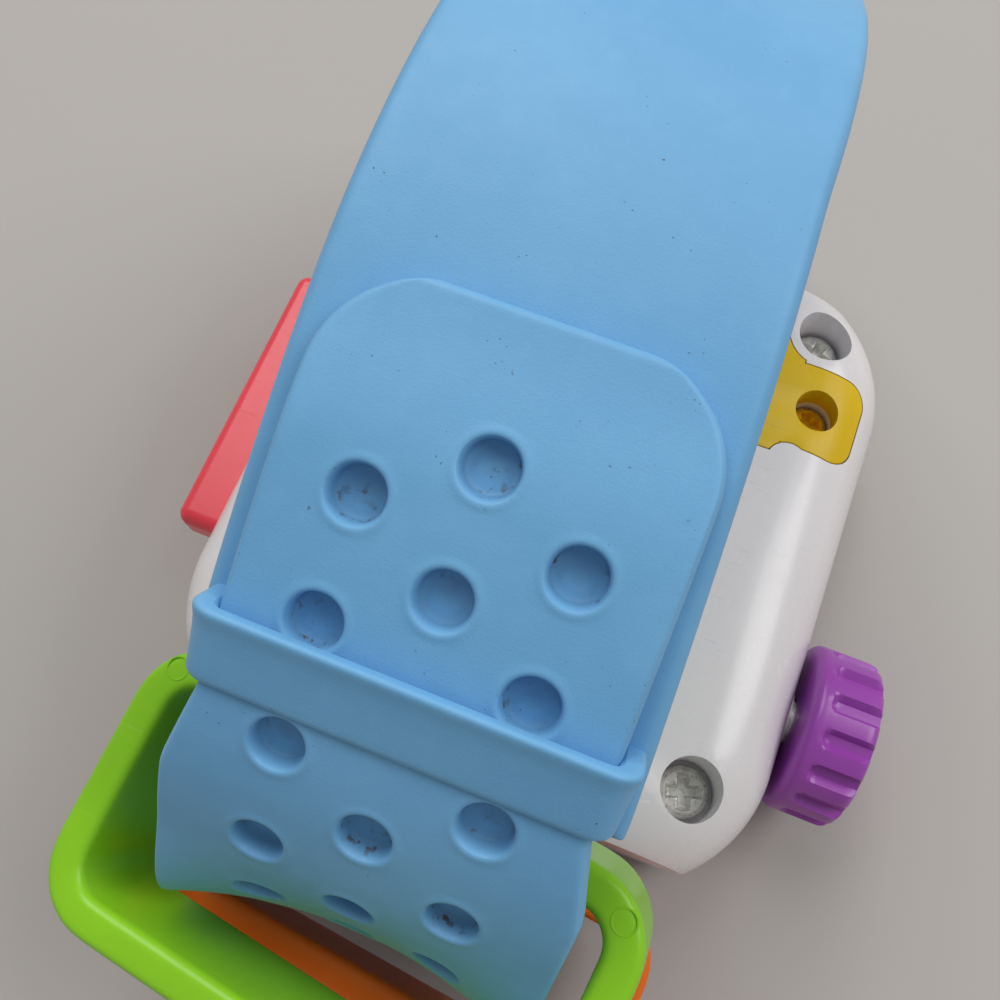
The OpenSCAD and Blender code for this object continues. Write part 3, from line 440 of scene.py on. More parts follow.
class Workshop:
    """Makes pieces, gives them a finish and fixes them to the frame."""

    def __init__(self, frame: dict) -> None:
        """Keeps the loaded frame and an empty store of materials."""
        self.frame = frame
        self.materials: dict[Finish, bpy.types.Material] = {}

    def material(self, finish: Finish) -> bpy.types.Material:
        """Finds a finish's material, which is built on first use.

        Args:
            finish: The finish.

        Returns:
            Its material.
        """
        if finish not in self.materials:
            self.materials[finish] = RECIPES[finish].material()
        return self.materials[finish]

    def piece(
        self, name: str, points: Sequence[Point], faces: Sequence[Sequence[int]], sharp_deg: float = 35.0
    ) -> bpy.types.Object:
        """Makes a mesh object from points in millimetres.

        Args:
            name: The piece's name.
            points: Corners of the mesh.
            faces: Corner numbers of each face.
            sharp_deg: Edges that fold by more than this stay sharp.

        Returns:
            The new object.
        """
        mesh = bpy.data.meshes.new(name)
        mesh.from_pydata([tuple(c * MM for c in p) for p in points], [], [tuple(f) for f in faces])
        mesh.validate()
        self.even_out(mesh, sharp_deg)
        return put(name, mesh)

    def even_out(self, mesh: bpy.types.Mesh, sharp_deg: float) -> None:
        """Turns the faces outwards and shades the mesh smooth up to an angle.

        Args:
            mesh: The mesh.
            sharp_deg: Edges that fold by more than this stay sharp.
        """
        work = bmesh.new()
        work.from_mesh(mesh)
        bmesh.ops.recalc_face_normals(work, faces=work.faces)
        work.to_mesh(mesh)
        work.free()
        smooth(mesh)
        mesh.set_sharp_from_angle(angle=math.radians(sharp_deg))

    def mount(
        self, obj: bpy.types.Object, finish: Finish, body: Body, nodes: Sequence[str] = ()
    ) -> bpy.types.Object:
        """Gives a piece its finish and its body, and hides the solids that it stands for.

        Args:
            obj: The piece.
            finish: Its finish.
            body: The body that it rides on.
            nodes: Solids that it replaces.

        Returns:
            The same piece.
        """
        obj.data.materials.clear()
        obj.data.materials.append(self.material(finish))
        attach(obj, body.value)
        if nodes:
            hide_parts(*nodes)
        LOG.info("%s rides on %s", obj.name, body.value)
        return obj

    def refine(self, obj: bpy.types.Object) -> None:
        """Rounds a mesh by one subdivision and keeps the result.

        Args:
            obj: The piece.
        """
        modifier = obj.modifiers.new("round", "SUBSURF")
        modifier.levels = 1
        modifier.render_levels = 1
        self.settle(obj)
        smooth(obj.data)

    def settle(self, obj: bpy.types.Object) -> None:
        """Applies a piece's modifiers to its mesh.

        Args:
            obj: The piece.
        """
        graph = bpy.context.evaluated_depsgraph_get()
        mesh = bpy.data.meshes.new_from_object(obj.evaluated_get(graph))
        obj.modifiers.clear()
        obj.data = mesh

    def softened(
        self, name: str, node: str, finish: Finish, body: Body, edge_mm: float, angle_deg: float = 38.0
    ) -> bpy.types.Object:
        """Copies a solid with its hard edges rounded.

        Args:
            name: The new piece's name.
            node: The solid to copy and replace.
            finish: Its finish.
            body: The body that it rides on.
            edge_mm: Width of the rounding.
            angle_deg: Edges that fold by more than this are rounded.

        Returns:
            The new piece.
        """
        mesh = self.frame["nodes"][node].data.copy()
        mesh.name = name
        work = bmesh.new()
        work.from_mesh(mesh)
        bmesh.ops.remove_doubles(work, verts=work.verts, dist=WELD_MM * MM)
        bmesh.ops.dissolve_limit(work, angle_limit=math.radians(FLAT_DEG), verts=work.verts, edges=work.edges)
        work.to_mesh(mesh)
        work.free()
        obj = put(name, mesh)
        modifier = obj.modifiers.new("soft_edges", "BEVEL")
        modifier.limit_method = "ANGLE"
        modifier.angle_limit = math.radians(angle_deg)
        modifier.width = edge_mm * MM
        modifier.segments = BEVEL_STEPS
        modifier.use_clamp_overlap = True
        self.settle(obj)
        smooth(obj.data)
        obj.data.set_sharp_from_angle(angle=math.radians(CREASE_DEG))
        return self.mount(obj, finish, body, [node])

    def paint(self, node: str, finish: Finish) -> None:
        """Gives a solid that stays in view its finish.

        Args:
            node: The solid's name.
            finish: Its finish.
        """
        obj = self.frame["nodes"][node]
        if not obj.material_slots:
            obj.data.materials.append(self.material(finish))
        for place in obj.material_slots:
            place.material = self.material(finish)


@dataclass
class StrapLoop:
    """The line that both straps share: the plain strap's outer face and the dimpled strap's inner face."""

    seat_y: float = 34.0
    root_z: float = 3.6
    strap_t: float = 3.0
    lay_gap: float = 0.15
    root_run: float = 5.0
    plain_bend_r: float = 15.0
    plain_rise: float = 6.0
    crest_h: float = 44.2
    shoulder_r: float = 55.0
    shoulder_turn: float = 19.0
    flat_r: float = 140.0
    flat_turn: float = 10.5
    ring_bend_r: float = 32.0
    low_bend_r: float = 11.0
    low_run: float = 2.7
    tip_at: float = 15.8
    keeper_at: float = 28.15
    keeper_l: float = 6.2
    keeper_tail: float = 1.5
    stretches: list[Pair] = field(default_factory=list)

    def __post_init__(self) -> None:
        """Closes the loop: its large bend and the straight run beside the rings follow from the rest."""
        a, b = math.radians(self.shoulder_turn), math.radians(self.shoulder_turn + self.flat_turn)
        self.side_y = -self.seat_y - self.low_run - self.low_bend_r
        self.low_z = self.root_z + self.strap_t + self.lay_gap
        self.crest_z = self.root_z + self.plain_bend_r + self.plain_rise + self.crest_h
        bend_z = (
            self.crest_z
            - self.shoulder_r * (1 - math.cos(a))
            - self.flat_r * (math.cos(a) - math.cos(b))
            - self.ring_bend_r * math.cos(b)
        )
        far_y = self.seat_y + self.root_run + self.plain_bend_r
        span = (
            far_y
            - self.side_y
            - self.shoulder_r * math.sin(a)
            - self.flat_r * (math.sin(b) - math.sin(a))
            - self.ring_bend_r * (1 - math.sin(b))
        )
        self.crest_y = far_y - span
        half = math.cos(math.pi / 4)
        quarter = math.pi / 2
        self.stretches = [
            (self.root_run, 0.0),
            (self.plain_bend_r, quarter),
            (self.plain_rise, 0.0),
            ((self.crest_h * half - span * (1 - half)) / (2 * half - 1), quarter / 2),
            ((span * half - self.crest_h * (1 - half)) / (2 * half - 1), quarter / 2),
            (self.shoulder_r, a),
            (self.flat_r, b - a),
            (self.ring_bend_r, quarter - b),
            (bend_z - self.low_bend_r - self.low_z, 0.0),
            (self.low_bend_r, quarter),
            (self.low_run, 0.0),
        ]
        self.crest_s = self.length(5)
        self.tip_s = self.crest_s + self.tip_at
        self.keeper_s = self.tip_s + self.keeper_at
        self.plain_end_s = self.keeper_s + self.keeper_l / 2 + self.keeper_tail
        self.end_s = self.length(len(self.stretches))

    def length(self, count: int) -> float:
        """Length of the first few stretches."""
        return sum(size * (turn or 1.0) for size, turn in self.stretches[:count])

    def walk(self, s: float) -> tuple[float, float, float]:
        """Follows the line.

        Args:
            s: Distance along it. Below 0 and past the end it runs straight on.

        Returns:
            Y, Z and the heading there, in radians from +Y.
        """
        y, z, heading = self.seat_y, self.root_z, 0.0
        last = len(self.stretches) - 1
        for number, (size, turn) in enumerate(self.stretches):
            span = size * (turn or 1.0)
            here = s if (s <= span or number == last) else span
            if turn:
                angle = here / size
                y += size * (math.sin(heading + angle) - math.sin(heading))
                z += size * (math.cos(heading) - math.cos(heading + angle))
                heading += angle
            else:
                y += here * math.cos(heading)
                z += here * math.sin(heading)
            if s <= span:
                break
            s -= span
        return y, z, heading

    def place(self, s: float, x: float, out: float) -> Point:
        """A point in millimetres: s along the line, x across towards the crown, out outwards."""
        y, z, heading = self.walk(s)
        return (x, y + out * math.sin(heading), z - out * math.cos(heading))

    def stretch(self, s: float, out: float) -> float:
        """How much longer a step along the line is at that distance outwards."""
        a, b = Vector(self.place(s - 0.5, 0, out)), Vector(self.place(s + 0.5, 0, out))
        return (a - b).length


class MeshBuilder:
    """Collects points and faces of one piece."""

    def __init__(self) -> None:
        """Starts empty."""
        self.points: list[Point] = []
        self.faces: list[list[int]] = []
        self.marks: list[float] = []

    def add(self, point: Point, mark: float = 0.0) -> int:
        """Adds a point.

        Args:
            point: The point, in millimetres.
            mark: How much dirt gathers there and how much painted shade darkens it, from 0 to 1.

        Returns:
            Its number.
        """
        self.points.append(point)
        self.marks.append(mark)
        return len(self.points) - 1

    def strip(self, first: Sequence[int], second: Sequence[int], closed: bool = False) -> None:
        """Joins two rows of points with quads.

        Args:
            first: Point numbers of one row.
            second: Point numbers of the other.
            closed: True where the rows are rings.
        """
        count = len(first)
        for i in range(count if closed else count - 1):
            k = (i + 1) % count
            self.faces.append([first[i], first[k], second[k], second[i]])

    def fan(self, ring: Sequence[int], centre: int) -> None:
        """Closes a ring of points with triangles around a centre."""
        for i, corner in enumerate(ring):
            self.faces.append([corner, ring[(i + 1) % len(ring)], centre])

    def tube(self, rows: Sequence[Sequence[int]], closed: bool) -> None:
        """Joins rings of points.

        Args:
            rows: Point numbers of each ring.
            closed: True where the last ring joins the first.
        """
        for first, second in zip(rows, rows[1:]):
            self.strip(first, second, closed=True)
        if closed:
            self.strip(rows[-1], rows[0], closed=True)


def rounded_outline(width: float, length: float, radius: float, per_corner: int = 8) -> list[Pair]:
    """Corners of a rounded rectangle around the origin, anticlockwise.

    Args:
        width: Size along x.
        length: Size along y.
        radius: Corner radius.
        per_corner: Steps round each corner.

    Returns:
        The points.
    """
    points = []
    corners = [(1, 1, 0), (-1, 1, 90), (-1, -1, 180), (1, -1, 270)]
    for sx, sy, start in corners:
        cx, cy = sx * (width / 2 - radius), sy * (length / 2 - radius)
        for k in range(per_corner + 1):
            angle = math.radians(start + 90 * k / per_corner)
            points.append((cx + radius * math.cos(angle), cy + radius * math.sin(angle)))
    return points


@dataclass
class StrapSheet:
    """A strap's section: two faces that meet in a rounded edge, with round hollows in the outer one."""

    inner: float
    outer_edge_r: float
    inner_edge_r: float
    hollow_r: float = 2.05
    hollow_depth: float = 1.75
    lip: float = 0.08

    def levels(self, gap: float, thickness: float) -> Pair:
        """Heights of the two faces at a distance from the outline.

        Args:
            gap: Distance inwards from the strap's outline.
            thickness: The strap's thickness there.

        Returns:
            Outward offsets of the outer and the inner face.
        """
        def drop(radius: float) -> float:
            """How far a rounded edge falls at that distance."""
            inside = radius - min(gap, radius)
            return radius - math.sqrt(max(0.0, radius * radius - inside * inside))

        middle = self.inner + self.inner_edge_r * thickness / (self.inner_edge_r + self.outer_edge_r)
        face = self.inner + thickness
        top = face - drop(self.outer_edge_r) * (face - middle) / self.outer_edge_r
        low = self.inner + drop(self.inner_edge_r) * (middle - self.inner) / self.inner_edge_r
        return top, low

    def hollow_profile(self) -> list[tuple[float, float, float]]:
        """Lists the rings of points that make one hollow, from its lip to its floor.

        Returns:
            Radius, depth and mark of each ring; the mark sets both dirt and painted shade.
        """
        r, d = self.hollow_r, self.hollow_depth
        # The third numbers are highest on the walls, where they give dirt and a painted dark ring of shade.
        return [
            (r + 0.92, 0.0, 0.0),
            (r + 0.64, -self.lip * 0.7, 0.0),
            (r + 0.38, -self.lip, 0.0),
            (r + 0.17, -self.lip * 0.2, 0.0),
            (r + 0.04, 0.14 * d, 0.1),
            (r - 0.02, 0.45 * d, 0.6),
            (r - 0.06, 0.80 * d, 1.0),
            (r - 0.18, 0.96 * d, 0.8),
            (r - 0.50, 1.0 * d, 0.4),
            (r - 1.15, 1.0 * d, 0.25),
        ]


@dataclass
class DimpledStrap:
    """The strap end with rows of dimples that goes through the keeper and lies on the plain strap."""

    shop: Workshop
    loop: StrapLoop
    tip_w: float = 29.4
    root_w: float = 33.0
    tip_r: float = 8.0
    taper_l: float = 7.0
    first: float = 10.52
    pitch: float = 4.52
    pair_x: float = 7.8
    rows: int = 12
    per_row: int = 6
    per_pair: int = 10
    half_cell: int = 4
    neck: float = 5.0
    tip_t: float = 1.5
    tip_thin_l: float = 13.0
    bow: float = 1.3
    flare: float = 2.2
    flare_low: float = 0.7
    flare_from: float = 38.0
    flare_to: float = 30.0
    bow_row: float = 7.3
    bow_rows: float = 2.5
    bow_fade: float = 14.0
    bow_stop: float = 4.0
    rim: float = 1.4
    edge_l: float = 1.1
    tip_clear: float = 1.5
    tip_steps: Sequence[float] = (0.0, 0.06, 0.2, 0.42, 0.7, 1.05)
    edge_steps: Sequence[float] = (0.72, 0.42, 0.2, 0.06, 0.0)

    def half_width(self, s: float) -> float:
        """Half the strap's width.

        Args:
            s: Distance along the loop.

        Returns:
            Half the width there.
        """
        start = self.loop.keeper_s + self.loop.keeper_l / 2
        half = lerp(self.tip_w, self.root_w, (s - start) / self.taper_l) / 2
        behind = s - self.loop.tip_s
        if behind < self.tip_r:
            dip = self.tip_r - max(0.0, behind)
            half -= self.tip_r - math.sqrt(max(0.0, self.tip_r**2 - dip**2))
        return half

    def thickness(self, s: float) -> float:
        """The strap's thickness, which thins out towards the tip."""
        return lerp(self.tip_t, self.loop.strap_t, smooth_step(0.0, self.tip_thin_l, s - self.loop.tip_s))

    def spot(self, s: float, x: float, out: float) -> Point:
        """A point of the strap; by the rings its middle is drawn in and its edges spread.

        Args:
            s: Distance along the loop.
            x: Place across.
            out: Distance outwards from the loop's line.

        Returns:
            The point.
        """
        start = self.loop.tip_s + self.first + self.bow_row * self.pitch
        bent = smooth_step(start, start + self.bow_rows * self.pitch, s)
        bent *= 1.0 - smooth_step(self.loop.end_s - self.bow_fade, self.loop.end_s - self.bow_stop, s)
        low = smooth_step(self.loop.end_s - self.flare_from, self.loop.end_s - self.flare_to, s)
        spread = lerp(self.flare, self.flare_low, low)
        across = min(1.0, abs(x) / (self.root_w / 2)) ** 2
        return self.loop.place(s, x, out + bent * lerp(-self.bow, spread, across))

    def stations(self) -> list[float]:
        """Places the rows of points along the loop; rows of dimples fall on every few of them.

        Returns:
            Distances along the loop.
        """
        step = self.pitch / self.per_row
        start = self.loop.tip_s + self.first
        steps = range(1, math.ceil(self.first / step))
        before = [start - k * step for k in steps if self.first - k * step > self.tip_clear]
        near_tip = [self.loop.tip_s + d for d in self.tip_steps]
        after = []
        s = start
        while s < self.loop.end_s + self.neck:
            after.append(s)
            s += step
        return near_tip + before[::-1] + after

    def columns(self, s: float) -> list[float]:
        """Places the points of one row across the strap.

        Args:
            s: Distance along the loop.

        Returns:
            Places across.
        """
        half = self.half_width(s)
        step = self.pair_x / self.per_pair
        count = self.per_pair + self.half_cell + 1
        full = self.tip_w / 2
        squeeze = min(1.0, (half - self.rim) / (full - self.rim))
        middle = [j * step * squeeze for j in range(count + 1)]
        last = middle[-1]
        side = [lerp(last, half - self.edge_l, t) for t in (0.34, 0.67, 1.0)]
        side += [half - d for d in self.edge_steps]
        right = middle[1:] + side
        return [-x for x in reversed(right)] + [0.0] + right

    def hollows(self, stations: Sequence[float], centre: int) -> list[tuple[int, int]]:
        """Finds the dimples' middles.

        Args:
            stations: Places of the rows.
            centre: Number of the middle column.

        Returns:
            Row and column of each.
        """
        start = next(i for i, s in enumerate(stations) if s >= self.loop.tip_s + self.first - 1e-6)
        found = []
        for row in range(self.rows):
            i = start + row * self.per_row
            if row % 2 == 0:
                found.append((i, centre))
            else:
                found += [(i, centre - self.per_pair), (i, centre + self.per_pair)]
        return found

    def build(self) -> bpy.types.Object:
        """Makes the strap.

        Returns:
            The piece.
        """
        sheet = StrapSheet(self.loop.lay_gap, 0.6, 0.5)
        stations = self.stations()
        mesh = MeshBuilder()
        grid = [self.columns(s) for s in stations]
        width = len(grid[0])
        centre = width // 2
        cells = self.hollows(stations, centre)
        n = self.half_cell
        cut = {(i + di, j + dj) for i, j in cells for di in range(-n, n) for dj in range(-n, n)}
        inside = {(i + di, j + dj) for i, j in cells for di in range(1 - n, n) for dj in range(1 - n, n)}
        top: list[list[int]] = []
        low: list[list[int]] = []
        for i, s in enumerate(stations):
            top_row, low_row = [], []
            for j, x in enumerate(grid[i]):
                gap = min(self.half_width(s) - abs(x), s - self.loop.tip_s)
                high, deep = sheet.levels(gap, self.thickness(s))
                edge = i == 0 or j in (0, width - 1)
                if (i, j) in inside:
                    top_row.append(-1)
                else:
                    top_row.append(mesh.add(self.spot(s, x, high)))
                low_row.append(top_row[-1] if edge else mesh.add(self.spot(s, x, deep)))
            top.append(top_row)
            low.append(low_row)
        for i in range(len(stations) - 1):
            for j in range(width - 1):
                if (i, j) not in cut:
                    mesh.faces.append([top[i][j], top[i][j + 1], top[i + 1][j + 1], top[i + 1][j]])
                mesh.faces.append([low[i][j], low[i + 1][j], low[i + 1][j + 1], low[i][j + 1]])
        mesh.faces.append(top[-1] + low[-1][-2:0:-1])
        for i, j in cells:
            self.sink(mesh, sheet, top, stations, grid, i, j)
        obj = self.shop.piece("dimpled_strap_rubber", mesh.points, mesh.faces)
        # The hollow mark is read by the rubber to lay dirt and painted shade in the dimples.
        mark = obj.data.attributes.new("hollow", "FLOAT", "POINT")
        mark.data.foreach_set("value", mesh.marks)
        self.shop.refine(obj)
        return self.shop.mount(obj, Finish.BLUE, Body.CASE, ["dimpled_strap"])

    def sink(
        self,
        mesh: MeshBuilder,
        sheet: StrapSheet,
        top: Sequence[Sequence[int]],
        stations: Sequence[float],
        grid: Sequence[Sequence[float]],
        i: int,
        j: int,
    ) -> None:
        """Fills one cell of the outer face with a dimple.

        Args:
            mesh: The strap's mesh so far.
            sheet: The strap's section.
            top: Point numbers of the outer face.
            stations: Places of the rows.
            grid: Places of the columns in each row.
            i: The dimple's row.
            j: The dimple's column.
        """
        n = self.half_cell
        border = [(-n, k) for k in range(-n, n)] + [(k, n) for k in range(-n, n)]
        border += [(n, -k) for k in range(-n, n)] + [(-k, -n) for k in range(-n, n)]
        s0, x0 = stations[i], grid[i][j]
        height = self.loop.lay_gap + self.thickness(s0)
        longer = self.loop.stretch(s0, height)
        ring = [top[i + di][j + dj] for di, dj in border]
        # Each ring's third number is its mark, which sets dirt and painted shade on the dimple's wall.
        for radius, depth, dirt in sheet.hollow_profile():
            fresh = []
            for di, dj in border:
                ds = (stations[i + di] - s0) * longer
                dx = grid[i + di][j + dj] - x0
                size = math.hypot(ds, dx)
                s = s0 + ds / size * radius / longer
                x = x0 + dx / size * radius
                high = self.loop.lay_gap + self.thickness(s) - depth
                fresh.append(mesh.add(self.spot(s, x, high), dirt))
            mesh.strip(ring, fresh, closed=True)
            ring = fresh
        # The dimple's floor gets a mark of 0.7 for dirt and painted shade.
        bottom = mesh.add(self.spot(s0, x0, height - sheet.hollow_depth), 0.7)
        mesh.fan(ring, bottom)


@dataclass
class PlainStrap:
    """The strap end that carries the keeper and lies under the dimpled one."""

    shop: Workshop
    loop: StrapLoop
    keeper_w: float = 34.4
    crest_w: float = 31.9
    back_w: float = 30.4
    root_w: float = 31.0
    loop_lean: float = 1.1
    back_lean: float = 1.7
    back_drop: float = 9.0
    neck: float = 5.0
    step: float = 1.6
    across: int = 22
    keeper_t: float = 1.35
    keeper_gap: float = -0.25
    keeper_in_w: float = 28.7
    keeper_turn: float = 12.0
    keeper_in_r: float = 0.8
    keeper_bevel: float = 0.35
    keeper_sunk: float = 0.75
    lip_r: float = 0.5
    lip_rise: float = 0.25
    back_r: float = 0.75
    flank: float = 0.25
    edge_steps: Sequence[float] = (0.0, 0.08, 0.26, 0.5, 0.85, 1.3)
    end_steps: Sequence[float] = (0.9, 0.55, 0.28, 0.08, 0.0)

    def sides(self, s: float) -> Pair:
        """Places of the strap's two edges across.

        Args:
            s: Distance along the loop.

        Returns:
            X of the edge by the button and of the edge by the crown.
        """
        y, z, _ = self.loop.walk(s)
        crest = (-self.loop_lean, self.crest_w)
        back = (-self.back_lean, self.back_w)
        if s > self.loop.crest_s:
            t = (self.loop.crest_y - y) / (self.loop.crest_y + self.loop.seat_y)
            pair = crest, (0.0, self.keeper_w)
        elif z > self.loop.crest_z - self.back_drop:
            t = (self.loop.crest_z - z) / self.back_drop
            pair = crest, back
        else:
            top = self.loop.crest_z - self.back_drop
            foot = self.loop.root_z + self.loop.plain_bend_r
            t = (top - z) / (top - foot)
            pair = back, (0.0, self.root_w)
        shift = lerp(pair[0][0], pair[1][0], t)
        width = lerp(pair[0][1], pair[1][1], t)
        return shift - width / 2, shift + width / 2

    def build(self) -> bpy.types.Object:
        """Makes the strap with its keeper as one moulding.

        Returns:
            The piece.
        """
        sheet = StrapSheet(-self.loop.strap_t, 1.3, 1.0)
        end = self.loop.plain_end_s
        count = round((end + self.neck) / self.step)
        gaps = self.edge_steps
        stations = [-self.neck + (end + self.neck - gaps[-1]) * i / count for i in range(count + 1)]
        stations += [end - d for d in self.end_steps]
        mesh = MeshBuilder()
        top: list[list[int]] = []
        low: list[list[int]] = []
        for i, s in enumerate(stations):
            left, right = self.sides(s)
            run = [left + d for d in gaps[:-1]]
            run += [lerp(left + gaps[-1], right - gaps[-1], k / self.across) for k in range(self.across + 1)]
            run += [right - d for d in reversed(gaps[:-1])]
            top_row, low_row = [], []
            for j, x in enumerate(run):
                gap = min(x - left, right - x, end - s)
                high, deep = sheet.levels(gap, self.loop.strap_t)
                edge = i == len(stations) - 1 or j in (0, len(run) - 1)
                top_row.append(mesh.add(self.loop.place(s, x, high)))
                low_row.append(top_row[-1] if edge else mesh.add(self.loop.place(s, x, deep)))
            top.append(top_row)
            low.append(low_row)
        for i in range(len(stations) - 1):
            mesh.strip(top[i], top[i + 1])
            mesh.strip(low[i + 1], low[i])
        mesh.faces.append(top[0][::-1] + low[0][1:-1])
        self.keeper(mesh)
        obj = self.shop.piece("plain_strap_rubber", mesh.points, mesh.faces)
        self.shop.refine(obj)
        return self.shop.mount(obj, Finish.BLUE, Body.CASE, ["plain_strap"])

    @staticmethod
    def rolled(along: float, top: float, radius: float, start_deg: float) -> list[Pair]:
        """A quarter round of the keeper's section, turned back from an angle: along and outwards."""
        turns = [math.radians(start_deg - 90 * k / 5) for k in range(6)]
        return [(along + radius * math.cos(a), top - radius + radius * math.sin(a)) for a in turns]

    def keeper(self, mesh: MeshBuilder) -> None:
        """Adds the keeper: a rounded band round the dimpled strap that grows out of the plain one.

        Args:
            mesh: The strap's mesh so far.
        """
        loop = self.loop
        roof = loop.lay_gap + loop.strap_t + self.keeper_gap
        floor = -loop.strap_t * self.keeper_sunk
        path = rounded_outline(self.keeper_in_w, roof - floor, self.keeper_in_r, 6)
        middle = (roof + floor) / 2
        half_l = loop.keeper_l / 2
        bevel = self.keeper_bevel
        section = [(half_l, bevel), (half_l - bevel, 0.0), (-half_l + bevel, 0.0), (-half_l, bevel)]
        section += self.rolled(-half_l + self.lip_r, self.keeper_t + self.lip_rise, self.lip_r, 180)
        section += [(-half_l + 0.95, self.keeper_t + 0.2), (-half_l + 1.5, self.keeper_t + 0.03)]
        section += self.rolled(half_l - self.back_r, self.keeper_t, self.back_r, 90)
        heading = loop.walk(loop.keeper_s)[2] + math.radians(self.keeper_turn)
        rows = []
        for index, (x, v) in enumerate(path):
            before, after = path[index - 1], path[(index + 1) % len(path)]
            tangent = Vector((after[0] - before[0], after[1] - before[1])).normalized()
            normal = (tangent.y, -tangent.x)
            flank = 1.0 + self.flank * abs(normal[0])
            row = []
            for along, rise in section:
                grow = rise * flank
                _, y, z = loop.place(loop.keeper_s, 0.0, middle + v + grow * normal[1])
                y += along * math.cos(heading)
                z += along * math.sin(heading)
                row.append(mesh.add((x + grow * normal[0], y, z)))
            rows.append(row)
        mesh.tube(rows, closed=True)


@dataclass
class LoopRing:
    """One loose ring on the strap, with round rims and the marks that ejector pins leave."""

    shop: Workshop
    name: str
    node: str
    finish: Finish
    body: Body
    rim_at: Point
    length: float
    width: float
    lean_deg: float = 0.0
    roll_deg: float = 0.0
    twist_deg: float = 5.5
    height: float = 13.0
    wall: float = 3.4
    inner_r: float = 2.8
    rim_r: float = 0.9
    pin_r: float = 1.1
    pin_edge: float = 2.8
    pin_line: float = 0.1
    pin_rise: float = 0.07
    pin_sunk: float = 0.03
    pin_steps: int = 28
    line_steps: int = 6

    def frame(self) -> Matrix:
        """Turns the ring's own axes, with its foot at 0, into the solids' frame.

        Returns:
            The matrix, in millimetres.
        """
        lean = Matrix.Rotation(math.radians(self.lean_deg), 4, "X")
        roll = Matrix.Rotation(math.radians(-self.roll_deg), 4, "Y")
        twist = Matrix.Rotation(math.radians(-self.twist_deg), 4, "Z")
        foot = Matrix.Translation((0, 0, -self.height))
        return Matrix.Translation(self.rim_at) @ lean @ roll @ twist @ foot

    def section(self) -> list[Pair]:
        """Goes round the wall's section.

        Returns:
            Outward offset and height of each point.
        """
        points = []
        r = self.rim_r
        far = self.wall - r
        top = self.height - r
        corners = [(r, r, 180), (far, r, 270), (far, top, 0), (r, top, 90)]
        for cx, cz, start in corners:
            for k in range(5):
                angle = math.radians(start + 90 * k / 4)
                points.append((cx + r * math.cos(angle), cz + r * math.sin(angle)))
        return points

    def path(self) -> list[tuple[float, float, float, float]]:
        """Goes round the inner wall's plan, with extra points on the long sides.

        Returns:
            Each point with its outward normal.
        """
        inner_l, inner_w = self.length - 2 * self.wall, self.width - 2 * self.wall
        outline = rounded_outline(inner_l, inner_w, self.inner_r, 6)
        full = []
        for index, (x, y) in enumerate(outline):
            nx, ny = outline[(index + 1) % len(outline)]
            cx = math.copysign(inner_l / 2 - self.inner_r, x)
            cy = math.copysign(inner_w / 2 - self.inner_r, y)
            out = Vector((x - cx, y - cy)).normalized()
            full.append((x, y, out.x, out.y))
            if math.hypot(nx - x, ny - y) > 2.0:
                full += [(x + (nx - x) * t, y + (ny - y) * t, out.x, out.y) for t in (0.1, 0.5, 0.9)]
        return full

    def build(self) -> bpy.types.Object:
        """Makes the ring.

        Returns:
            The piece.
        """
        matrix = self.frame()
        mesh = MeshBuilder()
        rows = []
        for x, y, nx, ny in self.path():
            row = []
            for out, z in self.section():
                spot = matrix @ Vector((x + out * nx, y + out * ny, z))
                row.append(mesh.add(tuple(spot)))
            rows.append(row)
        mesh.tube(rows, closed=True)
        obj = self.shop.piece(self.name, mesh.points, mesh.faces)
        self.shop.refine(obj)
        self.pin_marks(matrix)
        return self.shop.mount(obj, self.finish, self.body, [self.node])

    def pin_marks(self, matrix: Matrix) -> None:
        """Adds the thin round lines that ejector pins leave on the rim's two corners by the case.

        Args:
            matrix: Turns the ring's own axes into the solids' frame.
        """
        mesh = MeshBuilder()
        inset = self.pin_edge
        for side in (-1, 1):
            cx, cy = side * (self.length / 2 - inset), self.width / 2 - inset
            rows = []
            for k in range(self.pin_steps):
                turn = 2 * math.pi * k / self.pin_steps
                row = []
                for q in range(self.line_steps):
                    roll = 2 * math.pi * q / self.line_steps
                    radius = self.pin_r - self.pin_line + self.pin_line * math.cos(roll)
                    spot = (cx + radius * math.cos(turn), cy + radius * math.sin(turn))
                    rise = self.height - self.pin_sunk + self.pin_rise * math.sin(roll)
                    row.append(mesh.add(tuple(matrix @ Vector((*spot, rise)))))
                rows.append(row)
            mesh.tube(rows, closed=True)
        obj = self.shop.piece(self.name + "_pin_marks", mesh.points, mesh.faces)
        self.shop.mount(obj, self.finish, self.body)


